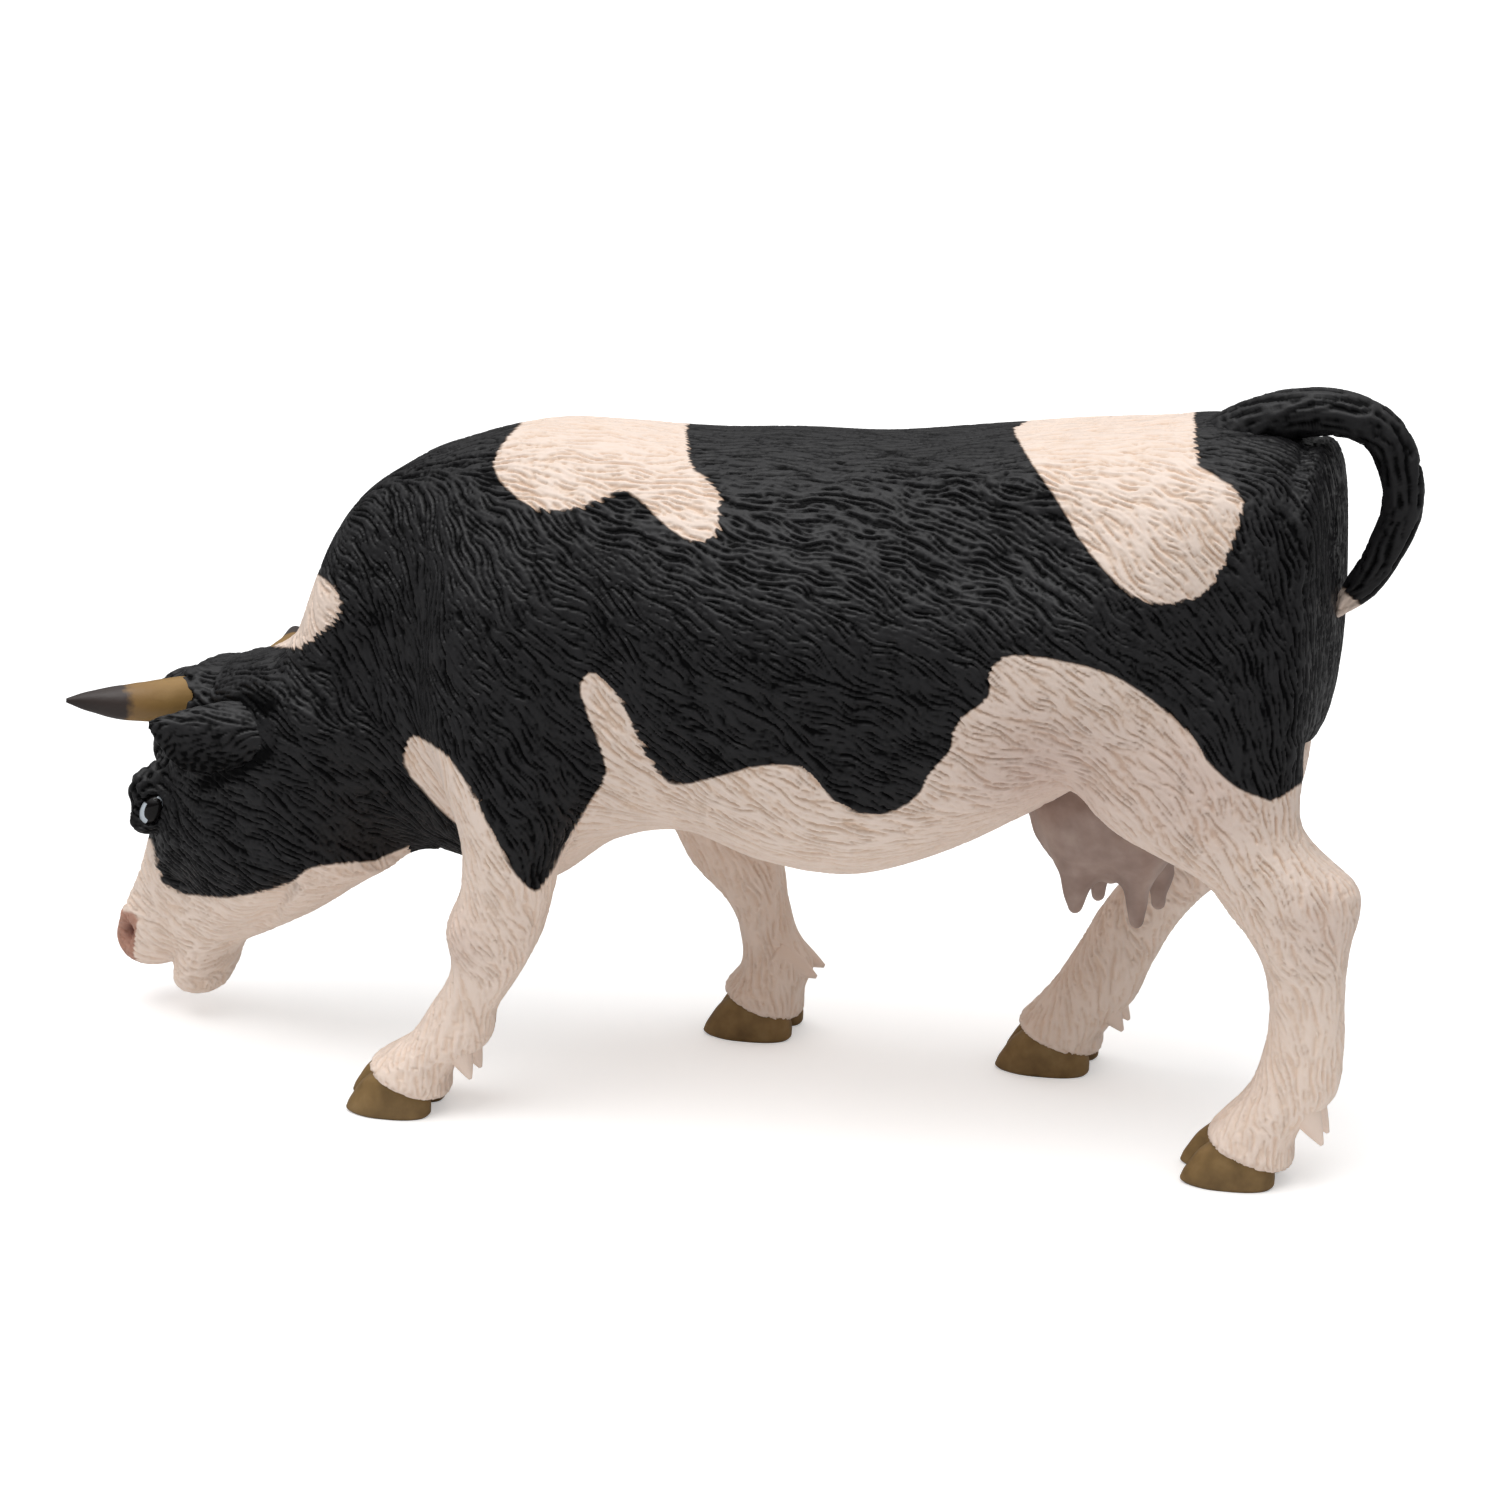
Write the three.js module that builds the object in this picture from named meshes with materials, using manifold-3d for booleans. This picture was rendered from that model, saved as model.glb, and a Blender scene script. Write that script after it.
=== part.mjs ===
// A grazing cow figurine, cast in soft vinyl as twelve pieces that are glued together on keyed pegs.
// Millimetres, +Z up. The cow faces -X, its left side is -Y, and its soles stand on Z = 0.

import * as THREE from "three";
import { mergeVertices } from "three/addons/utils/BufferGeometryUtils.js";
import Module from "manifold-3d";

const wasm = await Module();
wasm.setup();

// Fits
const SEAM_GAP = 0.3;
const PEG_CLEARANCE = 0.3;
const SOCKET_SPARE_DEPTH = 0.6;
const PEG_ROOT = 3.0;

// Trunk: heights of the top and bottom lines, half widths, and places along the body
const WITHERS_HEIGHT = 70.4;
const LOIN_HEIGHT = 71.0;
const HIP_HEIGHT = 74.2;
const TAIL_HEAD_HEIGHT = 75.2;
const BRISKET_HEIGHT = 22.0;
const GIRTH_HEIGHT = 29.4;
const BELLY_HEIGHT = 26.4;
const FLANK_HEIGHT = 40.0;
const CREST_HEIGHT = 66.0;
const THROAT_HEIGHT = 23.0;
const CREST_HALF_WIDTH = 8.5;
const CHEST_HALF_WIDTH = 16.5;
const BARREL_HALF_WIDTH = 21.5;
const HIP_HALF_WIDTH = 19.0;
const CREST_X = -36.0;
const WITHERS_X = -21.0;
const BARREL_X = 13.0;
const HIP_X = 40.0;
const TAIL_HEAD_X = 50.0;
const RUMP_X = 61.0;
const RUMP_HEIGHT = 58.0;

// Bones and hollows of both sides of the trunk: place along, out and up, the spread of each, and the rise
const BONES = [
  [HIP_X - 7, HIP_HALF_WIDTH - 5.5, HIP_HEIGHT - 4.7, 6, 6, 5, 1.1],          // hip bone
  [RUMP_X - 5, HIP_HALF_WIDTH - 11.5, TAIL_HEAD_HEIGHT - 5.7, 5, 4, 4, 0.9],  // pin bone
  [BARREL_X + 10, BARREL_HALF_WIDTH - 1.5, LOIN_HEIGHT - 8, 8, 7, 6, -1.3],   // hollow before the hip
  [HIP_X, HIP_HALF_WIDTH - 0.5, HIP_HEIGHT - 18.2, 11, 6, 9, 0.7],            // thigh
  [HIP_X - 9, HIP_HALF_WIDTH - 0.5, FLANK_HEIGHT, 6, 6, 7, 0.9],              // stifle
  [HIP_X + 8, HIP_HALF_WIDTH - 3, HIP_HEIGHT - 16.2, 5, 6, 10, -0.7],         // furrow behind the thigh
  [WITHERS_X - 7, CHEST_HALF_WIDTH - 2.5, CREST_HEIGHT - 9, 3.2, 6, 11, 1.0], // edge of the shoulder blade
  [WITHERS_X - 13, CREST_HALF_WIDTH + 1.5, THROAT_HEIGHT + 19, 6, 6, 6, 0.9], // point of the shoulder
  [WITHERS_X + 9, CHEST_HALF_WIDTH + 2, CREST_HEIGHT - 16, 5, 6, 13, -0.9],   // hollow behind the shoulder
  [CREST_X - 2, CREST_HALF_WIDTH + 1, CREST_HEIGHT - 9, 7, 5, 5, -0.6],       // side of the neck
  [BARREL_X - 11, BARREL_HALF_WIDTH - 0.5, BELLY_HEIGHT + 20.6, 12, 6, 12, 0.6], // ribs
  [CREST_X - 9, CREST_HALF_WIDTH - 0.5, THROAT_HEIGHT + 11, 6, 6, 8, 1.6],    // neck muscle behind the jaw
  [CREST_X, 0, THROAT_HEIGHT - 0.5, 7, 5, 4, 0.9],                            // brisket
];

// Head: the poll is the origin of the head's own frame, with its nose along local +X
const HEAD_AT = new THREE.Vector3(-51.6, 0, 34.2);
const HEAD_PITCH = THREE.MathUtils.degToRad(54);
const HEAD_TURN = THREE.MathUtils.degToRad(25);
const HEAD_LENGTH = 34.5;
const POLL_RISE = 10.0;
const BROW_RISE = 8.4;
const NOSE_RISE = 4.2;
const JAW_DROP = 16.4;
const CHIN_DROP = 9.6;
const HEAD_HALF_WIDTH = 9.0;
const MUZZLE_HALF_WIDTH = 5.8;
const CHIN_HALF_WIDTH = 4.2;
const MOUTH_GAP = 1.0;
const TUFT_RISE = 1.6;
const EYE_RADIUS = 2.3;
const EYE_ALONG = 12.5;
const NOSTRIL_RADIUS = 1.1;
const NECK_SEAM_TILT = THREE.MathUtils.degToRad(23);
const NECK_PEG_RADIUS = 4.5;
const NECK_PEG_LENGTH = 8.0;

// Horns and ears
const HORN_REACH = 11.5;
const HORN_FORWARD = 6.6;
const HORN_RADIUS = 2.3;
const HORN_PEG_LENGTH = 3.0;
const EAR_LENGTH = 11.0;
const EAR_HALF_WIDTH = 4.2;
const EAR_THICKNESS = 2.4;
const EAR_SWEEP = THREE.MathUtils.degToRad(22);
const EAR_TWIST = THREE.MathUtils.degToRad(42);
const EAR_PEG_RADIUS = 1.3;
const EAR_PEG_LENGTH = 3.0;

// Legs: seam heights, and half widths from the seam down to the coronet
const FORE_SEAM_HEIGHT = 30.0;
const HIND_SEAM_HEIGHT = 36.5;
const FORE_HALF_WIDTHS = [5.0, 4.7, 4.5, 3.5, 3.2, 4.0, 4.3, 4.6];
const HIND_HALF_WIDTHS = [6.4, 5.6, 4.8, 3.9, 3.4, 3.6, 4.2, 4.3, 4.6];
const LEG_PEG_LENGTH = 7.0;
const LEG_PEG_RADIUS = 2.8;
const LEG_PEG_STRETCH = 1.35;
const HOOF_HEIGHT = 4.6;
const CLAW_HALF_WIDTH = 2.4;
const CLEFT_WIDTH = 0.7;
const DEWCLAW_RADIUS = 1.2;
const DEWCLAW_LENGTH = 3.0;

// Each leg's stride: rows of place along the body, height and half depth, from the seam down
const STRIDES = {
  foreleg_left: {
    side: -1,
    track: 15.2,
    rows: [
      [-21.0, FORE_SEAM_HEIGHT, 5.2], [-21.6, 25.0, 4.7], [-22.8, 20.4, 4.6], [-24.2, 15.5, 3.5],
      [-26.4, 11.8, 3.4], [-28.6, 7.8, 4.1], [-32.1, 5.0, 4.0], [-33.0, 3.6, 4.1],
    ],
    toe: -38.8,
    heel: -29.6,
  },
  foreleg_right: {
    side: 1,
    track: 16.2,
    rows: [
      [-11.8, FORE_SEAM_HEIGHT, 5.6], [-8.4, 24.2, 5.0], [-5.6, 19.0, 4.6], [-3.2, 14.3, 3.0],
      [-2.2, 11.0, 2.9], [-1.5, 7.4, 3.7], [-2.8, 4.8, 3.9], [-3.3, 3.6, 4.2],
    ],
    toe: -8.9,
    heel: 0.9,
  },
  hindleg_left: {
    side: -1,
    track: 12.0,
    rows: [
      [50.4, HIND_SEAM_HEIGHT, 9.6], [56.7, 32.2, 7.2], [59.0, 28.4, 6.2], [60.2, 24.6, 4.5],
      [60.7, 19.6, 3.7], [60.6, 14.4, 3.9], [59.2, 9.6, 4.3], [56.2, 5.8, 4.0], [55.2, 4.2, 4.2],
    ],
    toe: 48.7,
    heel: 58.4,
  },
  hindleg_right: {
    side: 1,
    track: 14.2,
    rows: [
      [46.6, HIND_SEAM_HEIGHT, 9.2], [46.8, 31.0, 7.4], [45.4, 26.4, 6.0], [42.2, 22.2, 4.9],
      [38.7, 17.8, 4.4], [35.9, 12.8, 4.3], [33.3, 8.4, 4.6], [30.8, 5.0, 4.7], [29.6, 3.8, 4.8],
    ],
    toe: 23.7,
    heel: 33.9,
  },
};

// Tail and udder
const TAIL_RADIUS = 2.2;
const TAIL_TIP_RADIUS = 1.5;
const TAIL_ARCH_RISE = 1.7;
const TAIL_ARCH_REACH = 5.6;
const UDDER_X = 38.0;
const UDDER_HALF_LENGTH = 8.6;
const UDDER_HALF_WIDTH = 8.4;
const UDDER_DEPTH = 8.6;
const UDDER_PEG_RADIUS = 3.0;
const UDDER_PEG_LENGTH = 5.0;
const TEAT_LENGTH = 5.2;
const TEAT_RADIUS = 1.5;
const TEAT_SPREAD_X = 3.1;
const TEAT_SPREAD_Y = 4.0;

// Facets
const TRUNK_SIDES = 32;
const HEAD_SIDES = 22;
const LIMB_SIDES = 16;
const SMALL_SIDES = 12;
const SMOOTH_STEPS = 2;
const TAIL_STEPS = 36;

// Colours
const BLACK_COAT = { color: 0x1d1d20, roughness: 0.55, metalness: 0 };
const CREAM_COAT = { color: 0xe8dacb, roughness: 0.6, metalness: 0 };
const HORN_TAN = { color: 0x8f6d3a, roughness: 0.45, metalness: 0 };
const UDDER_PINK = { color: 0xa58f86, roughness: 0.5, metalness: 0 };

// Geometry helpers

// One number eased between four stations, as a Catmull-Rom spline does.
function eased(before, from, to, after, t) {
  const startSlope = (to - before) / 2;
  const endSlope = (after - from) / 2;
  const cubic = 2 * from - 2 * to + startSlope + endSlope;
  const square = -3 * from + 3 * to - 2 * startSlope - endSlope;
  return ((cubic * t + square) * t + startSlope) * t + from;
}

// Rows of numbers with smooth rows put in between them.
function smoothRows(rows) {
  const last = rows.length - 1;
  const result = [];
  for (let i = 0; i < last; i++) {
    const from = rows[i];
    const to = rows[i + 1];
    const before = rows[Math.max(i - 1, 0)];
    const after = rows[Math.min(i + 2, last)];
    for (let step = 0; step < SMOOTH_STEPS; step++) {
      const t = step / SMOOTH_STEPS;
      result.push(from.map((value, k) => eased(before[k], value, to[k], after[k], t)));
    }
  }
  result.push(rows[last]);
  return result;
}

// A closed skin over a row of rings with equal point counts, capped at both ends.
function skin(rings) {
  const sides = rings[0].length;
  const positions = rings.flat().flatMap((p) => [p.x, p.y, p.z]);
  const indices = [];
  for (let r = 0; r + 1 < rings.length; r++) {
    for (let s = 0; s < sides; s++) {
      const a = r * sides + s;
      const b = r * sides + ((s + 1) % sides);
      indices.push(a, b, b + sides, a, b + sides, a + sides);
    }
  }
  const lastStart = (rings.length - 1) * sides;
  const addCap = (ring, start, flip) => {
    const middle = ring.reduce((sum, p) => sum.add(p), new THREE.Vector3()).divideScalar(sides);
    const hub = positions.length / 3;
    positions.push(middle.x, middle.y, middle.z);
    for (let s = 0; s < sides; s++) {
      const a = start + s;
      const b = start + ((s + 1) % sides);
      indices.push(hub, flip ? b : a, flip ? a : b);
    }
  };
  addCap(rings[0], 0, true);
  addCap(rings[rings.length - 1], lastStart, false);
  const geometry = new THREE.BufferGeometry();
  geometry.setAttribute("position", new THREE.Float32BufferAttribute(positions, 3));
  geometry.setIndex(indices);
  return geometry;
}

// A rounded-square ring in the plane of two unit directions; squareness 1 is an ellipse.
function ring(centre, across, up, halfAcross, halfUp, halfDown, sides, squareness = 1) {
  const points = [];
  for (let s = 0; s < sides; s++) {
    const turn = (2 * Math.PI * s) / sides;
    const c = Math.cos(turn);
    const n = Math.sin(turn);
    const sideways = Math.sign(c) * Math.abs(c) ** squareness * halfAcross;
    const upright = Math.sign(n) * Math.abs(n) ** squareness * (n > 0 ? halfUp : halfDown);
    points.push(centre.clone().addScaledVector(across, sideways).addScaledVector(up, upright));
  }
  return points;
}

const AXIS_X = new THREE.Vector3(1, 0, 0);
const AXIS_Y = new THREE.Vector3(0, 1, 0);
const AXIS_Z = new THREE.Vector3(0, 0, 1);

// A tapered round tube along a curve, with its radius given at shares of its length.
function taperedTube(curve, radii, steps, sides, grow = 0) {
  const frames = curve.computeFrenetFrames(steps);
  const rings = [];
  for (let i = 0; i <= steps; i++) {
    const place = (i / steps) * (radii.length - 1);
    const k = Math.min(Math.floor(place), radii.length - 2);
    const radius = THREE.MathUtils.lerp(radii[k], radii[k + 1], place - k) + grow;
    const centre = curve.getPointAt(i / steps);
    rings.push(ring(centre, frames.normals[i], frames.binormals[i], radius, radius, radius, sides));
  }
  return skin(rings);
}

// A round or oval peg standing along local +Z from z = start to z = end.
function pegGeometry(radius, stretch, start, end) {
  const peg = new THREE.CylinderGeometry(radius, radius, end - start, SMALL_SIDES);
  peg.rotateX(Math.PI / 2);
  peg.scale(stretch, 1, 1);
  return peg.translate(0, 0, (start + end) / 2);
}

function ellipsoid(centre, radii, sides = SMALL_SIDES) {
  const ball = new THREE.SphereGeometry(1, sides, sides - 4);
  return ball.scale(...radii).translate(...centre);
}

// Solids

// A closed geometry as a solid, turned right side out where a mirrored form is inside out.
function solid(geometry) {
  const bare = geometry.clone();
  bare.deleteAttribute("normal");
  bare.deleteAttribute("uv");
  const merged = mergeVertices(bare, 1e-4);
  const points = merged.attributes.position;
  const index = Array.from(merged.index.array);
  const [a, b, c] = [new THREE.Vector3(), new THREE.Vector3(), new THREE.Vector3()];
  let volume = 0;
  for (let i = 0; i < index.length; i += 3) {
    a.fromBufferAttribute(points, index[i]);
    b.fromBufferAttribute(points, index[i + 1]);
    c.fromBufferAttribute(points, index[i + 2]);
    volume += a.dot(b.cross(c));
  }
  if (volume < 0) index.reverse();
  const triVerts = new Uint32Array(index);
  return new wasm.Manifold(new wasm.Mesh({ numProp: 3, vertProperties: points.array, triVerts }));
}

function joined(geometries) {
  return geometries.map(solid).reduce((whole, piece) => whole.add(piece));
}

function cutBy(body, tools) {
  return tools.reduce((whole, tool) => whole.subtract(tool), body);
}

function meshOf(name, body, finish) {
  const raw = body.getMesh();
  const geometry = new THREE.BufferGeometry();
  const positions = new Float32Array(raw.vertProperties);
  geometry.setAttribute("position", new THREE.BufferAttribute(positions, raw.numProp));
  geometry.setIndex(Array.from(raw.triVerts));
  geometry.computeVertexNormals();
  const mesh = new THREE.Mesh(geometry, new THREE.MeshStandardMaterial(finish));
  mesh.name = name;
  return mesh;
}

// Trunk and neck, as upright slices: place, top, bottom, half width
function trunkGeometry() {
  const neckTop = HEAD_AT.z + POLL_RISE;
  const rows = [
    [HEAD_AT.x - 5.4, neckTop - 2.4, HEAD_AT.z, CREST_HALF_WIDTH - 3],
    [HEAD_AT.x + 1.6, neckTop + 1.6, HEAD_AT.z - 6, CREST_HALF_WIDTH - 1],
    [CREST_X - 8, CREST_HEIGHT - 9.8, THROAT_HEIGHT + 0.4, CREST_HALF_WIDTH + 0.5],
    [CREST_X, CREST_HEIGHT, THROAT_HEIGHT, CREST_HALF_WIDTH + 2.2],
    [CREST_X + 7, CREST_HEIGHT + 3.2, BRISKET_HEIGHT + 1.4, CHEST_HALF_WIDTH - 3],
    [WITHERS_X, WITHERS_HEIGHT, BRISKET_HEIGHT, CHEST_HALF_WIDTH],
    [WITHERS_X + 8, WITHERS_HEIGHT, GIRTH_HEIGHT - 2, CHEST_HALF_WIDTH + 1.8],
    [WITHERS_X + 16, WITHERS_HEIGHT - 0.2, GIRTH_HEIGHT, BARREL_HALF_WIDTH - 1.8],
    [BARREL_X - 9, LOIN_HEIGHT - 0.3, BELLY_HEIGHT + 0.6, BARREL_HALF_WIDTH - 0.4],
    [BARREL_X, LOIN_HEIGHT - 0.2, BELLY_HEIGHT, BARREL_HALF_WIDTH],
    [BARREL_X + 9, LOIN_HEIGHT + 0.5, BELLY_HEIGHT + 3, BARREL_HALF_WIDTH - 0.6],
    [HIP_X - 9, HIP_HEIGHT - 1.5, FLANK_HEIGHT - 5.6, HIP_HALF_WIDTH + 0.8],
    [HIP_X, HIP_HEIGHT, FLANK_HEIGHT, HIP_HALF_WIDTH],
    [TAIL_HEAD_X, TAIL_HEAD_HEIGHT, FLANK_HEIGHT + 4, HIP_HALF_WIDTH - 2],
    [RUMP_X - 4, TAIL_HEAD_HEIGHT - 1.6, FLANK_HEIGHT + 3.4, HIP_HALF_WIDTH - 6],
    [RUMP_X - 0.8, RUMP_HEIGHT + 12.6, RUMP_HEIGHT - 11, HIP_HALF_WIDTH - 10],
    [RUMP_X, RUMP_HEIGHT + 8, RUMP_HEIGHT - 6, HIP_HALF_WIDTH - 14],
  ];
  const widestShare = 0.46;
  const squareness = 0.86;
  const rings = smoothRows(rows).map(([x, top, bottom, half]) => {
    const widest = bottom + (top - bottom) * widestShare;
    const centre = new THREE.Vector3(x, 0, widest);
    const slice = ring(centre, AXIS_Y, AXIS_Z, half, top - widest, widest - bottom, TRUNK_SIDES, squareness);
    return overBones(slice, centre);
  });
  return skin(rings);
}

// A slice pushed out over bones and in at hollows, each a bell curve on both sides of the body
function overBones(slice, centre) {
  return slice.map((point) => {
    const rises = BONES.map(([along, out, up, alongSpread, outSpread, upSpread, rise]) => {
      const alongShare = (point.x - along) / alongSpread;
      const outShare = (Math.abs(point.y) - out) / outSpread;
      const upShare = (point.z - up) / upSpread;
      return rise * Math.exp(-(alongShare ** 2) - outShare ** 2 - upShare ** 2);
    });
    const rise = rises.reduce((sum, value) => sum + value, 0);
    const outward = point.clone().sub(centre).normalize();
    return point.clone().addScaledVector(outward, rise);
  });
}

// The leg's muscle above its seam, which is cast with the trunk: level slices up into the body
function legRootGeometry({ side, track, rows }, halfWidth, muscle) {
  const [x, height, halfDepth] = rows[0];
  const levels = [
    [x, side * track, height, halfDepth, halfWidth],
    ...muscle.map(([along, inward, rise, depth, width]) => [
      x + along, side * (track - inward), height + rise, depth, width,
    ]),
  ];
  return levelSkin(levels);
}

// A skin over level slices: place, side, height, half depth, half width
function levelSkin(levels, grow = 0) {
  const rings = smoothRows(levels).map(([x, y, z, halfDepth, halfWidth]) => {
    const centre = new THREE.Vector3(x, y, z);
    const half = halfWidth + grow;
    return ring(centre, AXIS_X, AXIS_Y, halfDepth + grow, half, half, LIMB_SIDES);
  });
  return skin(rings);
}

// Muscle rows above a seam: shift along the body, shift inward, rise, half depth, half width
const SHOULDER_MUSCLE = [
  [0.4, 0.8, 6, 8.3, 6.5],
  [0.2, 2.0, 13, 10.0, 7.0],
  [1.0, 4.0, 24, 9.4, 6.7],
  [2.0, 7.0, 34, 5.6, 4.4],
];
const HAUNCH_MUSCLE = [
  [-2.6, 0.0, 7, 12.6, 7.5],
  [-3.4, 0.6, 16, 13.0, 7.7],
  [-3.0, 2.0, 26, 9.2, 6.2],
  [-2.0, 4.0, 33, 4.8, 3.6],
];

// The limb below its seam, as level slices
function limbGeometry({ side, track, rows }, halfWidths, grow = 0) {
  const levels = rows.map(([x, z, halfDepth], i) => {
    const height = i === 0 && grow === 0 ? z - SEAM_GAP : z;
    return [x, side * track, height, halfDepth, halfWidths[i]];
  });
  return levelSkin(levels, grow);
}

// One claw of a cloven hoof: a level sole, a sloping toe wall and a rounded crown
function clawGeometry({ side, track, toe, heel, rows }, which) {
  const coronet = rows[rows.length - 1];
  const y = side * track + which * (CLAW_HALF_WIDTH + CLEFT_WIDTH / 2);
  const middle = (toe + heel) / 2;
  const halfDepth = (heel - toe) / 2;
  const crown = coronet[0];
  const shapes = [
    [middle, 0, halfDepth, 1.0],
    [middle + (crown - middle) * 0.3, HOOF_HEIGHT * 0.5, halfDepth * 0.95, 1.03],
    [crown, HOOF_HEIGHT, halfDepth * 0.74, 0.95],
    [crown, HOOF_HEIGHT * 1.25, halfDepth * 0.5, 0.55],
  ];
  const rings = shapes.map(([x, z, depth, spread]) => {
    const half = CLAW_HALF_WIDTH * spread;
    return ring(new THREE.Vector3(x, y, z), AXIS_X, AXIS_Y, depth, half, half, SMALL_SIDES);
  });
  return skin(rings);
}

// A dewclaw behind the fetlock, pointing down and a little back
function dewclawGeometry({ side, track, rows }, which) {
  const [x, z, halfDepth] = rows[rows.length - 3];
  const tip = DEWCLAW_RADIUS * 0.35;
  const dewclaw = new THREE.CylinderGeometry(DEWCLAW_RADIUS, tip, DEWCLAW_LENGTH, SMALL_SIDES);
  const lean = THREE.MathUtils.degToRad(20);
  dewclaw.rotateX(Math.PI / 2).rotateY(-lean);
  const y = side * track + which * CLAW_HALF_WIDTH * 0.8;
  return dewclaw.translate(x + halfDepth - DEWCLAW_RADIUS, y, z - DEWCLAW_LENGTH * 0.3);
}

function legPegGeometry({ side, track, rows }, start, end, grow = 0) {
  const [x, height] = rows[0];
  const peg = pegGeometry(LEG_PEG_RADIUS + grow, LEG_PEG_STRETCH, start, end);
  return peg.translate(x, side * track, height);
}

function legBody(stride, halfWidths) {
  return joined([
    limbGeometry(stride, halfWidths),
    ...[-1, 1].map((which) => clawGeometry(stride, which)),
    ...[-1, 1].map((which) => dewclawGeometry(stride, which)),
    legPegGeometry(stride, -PEG_ROOT, LEG_PEG_LENGTH),
  ]);
}

function legTools(stride, halfWidths) {
  return [
    solid(limbGeometry(stride, halfWidths, SEAM_GAP)),
    solid(legPegGeometry(stride, -PEG_ROOT, LEG_PEG_LENGTH + SOCKET_SPARE_DEPTH, PEG_CLEARANCE)),
  ];
}

// Head, in its own frame: nose along +X, left along +Y, forehead along +Z

// Slices from the nape to the muzzle: along, top, bottom, half width
function skullGeometry() {
  const rows = [
    [-9.5, POLL_RISE - 4, -9, HEAD_HALF_WIDTH - 2.4],
    [-4, POLL_RISE - 1.8, -11.5, HEAD_HALF_WIDTH - 1.2],
    [0, POLL_RISE - 0.6, -JAW_DROP + 0.6, HEAD_HALF_WIDTH - 0.7],
    [5, POLL_RISE - 1, -JAW_DROP, HEAD_HALF_WIDTH - 0.2],
    [9, BROW_RISE + 0.7, -JAW_DROP + 1.4, HEAD_HALF_WIDTH],
    [EYE_ALONG + 0.5, BROW_RISE - 0.5, -CHIN_DROP - 0.6, HEAD_HALF_WIDTH - 0.4],
    [EYE_ALONG + 5, NOSE_RISE + 1.2, -CHIN_DROP + 1.4, HEAD_HALF_WIDTH - 2],
    [HEAD_LENGTH - 12.5, NOSE_RISE + 0.5, -CHIN_DROP + 3.2, MUZZLE_HALF_WIDTH],
    [HEAD_LENGTH - 8.5, NOSE_RISE, -CHIN_DROP + 4.6, MUZZLE_HALF_WIDTH - 0.2],
    [HEAD_LENGTH - 4, NOSE_RISE - 0.4, -4.4, MUZZLE_HALF_WIDTH],
    [HEAD_LENGTH - 1.4, NOSE_RISE - 2.4, -3.4, MUZZLE_HALF_WIDTH - 1],
    [HEAD_LENGTH, NOSE_RISE - 4.2, -2.2, MUZZLE_HALF_WIDTH - 3],
  ];
  const squareness = 0.9;
  const rings = smoothRows(rows).map(([along, top, bottom, half]) => {
    const middle = (top + bottom) / 2;
    const centre = new THREE.Vector3(along, 0, middle);
    return ring(centre, AXIS_Y, AXIS_Z, half, top - middle, middle - bottom, HEAD_SIDES, squareness);
  });
  return skin(rings);
}

// The lower jaw under the muzzle: its front stands free below the mouth
function jawGeometry() {
  const lipLine = -4.2 - MOUTH_GAP;
  const rows = [
    [6, -3, -JAW_DROP + 0.6, CHIN_HALF_WIDTH + 2],
    [13, -3.4, -JAW_DROP + 1, CHIN_HALF_WIDTH + 1],
    [HEAD_LENGTH - 14.5, lipLine + 1.4, -CHIN_DROP - 1.6, CHIN_HALF_WIDTH + 0.2],
    [HEAD_LENGTH - 10, lipLine + 1.2, -CHIN_DROP - 0.6, CHIN_HALF_WIDTH - 0.4],
    [HEAD_LENGTH - 6.2, lipLine, -CHIN_DROP - 0.4, CHIN_HALF_WIDTH],
    [HEAD_LENGTH - 3.6, lipLine, -CHIN_DROP, CHIN_HALF_WIDTH - 0.4],
    [HEAD_LENGTH - 2.4, lipLine - 1.2, -CHIN_DROP + 1.6, CHIN_HALF_WIDTH - 2],
  ];
  const rings = smoothRows(rows).map(([along, top, bottom, half]) => {
    const middle = (top + bottom) / 2;
    const centre = new THREE.Vector3(along, 0, middle);
    return ring(centre, AXIS_Y, AXIS_Z, half, top - middle, middle - bottom, LIMB_SIDES);
  });
  return skin(rings);
}

// The neck seam's own frame inside the head: its +Z points out of the head, into the neck
const neckSeam = new THREE.Matrix4()
  .makeRotationY(-Math.PI / 2 - NECK_SEAM_TILT)
  .setPosition(-2, 0, -3);

// A block that fills the head's side of the neck seam, standing off the seam by a gap
function headSideGeometry(gap) {
  const block = HEAD_LENGTH * 3;
  const box = new THREE.BoxGeometry(block, block, block);
  return box.translate(0, 0, -block / 2 - gap).applyMatrix4(neckSeam);
}

function neckPegGeometry(start, end, grow = 0) {
  return pegGeometry(NECK_PEG_RADIUS + grow, 1, start, end).applyMatrix4(neckSeam);
}

// A horn's centre line, from inside the poll out to its tip
function hornCurve(side) {
  const rootAlong = 0.5;
  const rootRise = POLL_RISE - 2.2;
  const rootOut = HEAD_HALF_WIDTH - 3.4;
  const bow = HORN_FORWARD * 0.35;
  return new THREE.CatmullRomCurve3([
    new THREE.Vector3(rootAlong, side * (rootOut - HORN_PEG_LENGTH), rootRise - 0.6),
    new THREE.Vector3(rootAlong, side * rootOut, rootRise),
    new THREE.Vector3(rootAlong + 1, side * (rootOut + HORN_REACH * 0.55), rootRise + bow),
    new THREE.Vector3(rootAlong + 3.6, side * (rootOut + HORN_REACH), rootRise + HORN_FORWARD),
  ]);
}

function hornGeometry(side, grow = 0) {
  const radii = [HORN_RADIUS, HORN_RADIUS, HORN_RADIUS * 0.9, HORN_RADIUS * 0.62, 0.2];
  return taperedTube(hornCurve(side), radii, SMALL_SIDES, SMALL_SIDES, grow);
}

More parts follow.
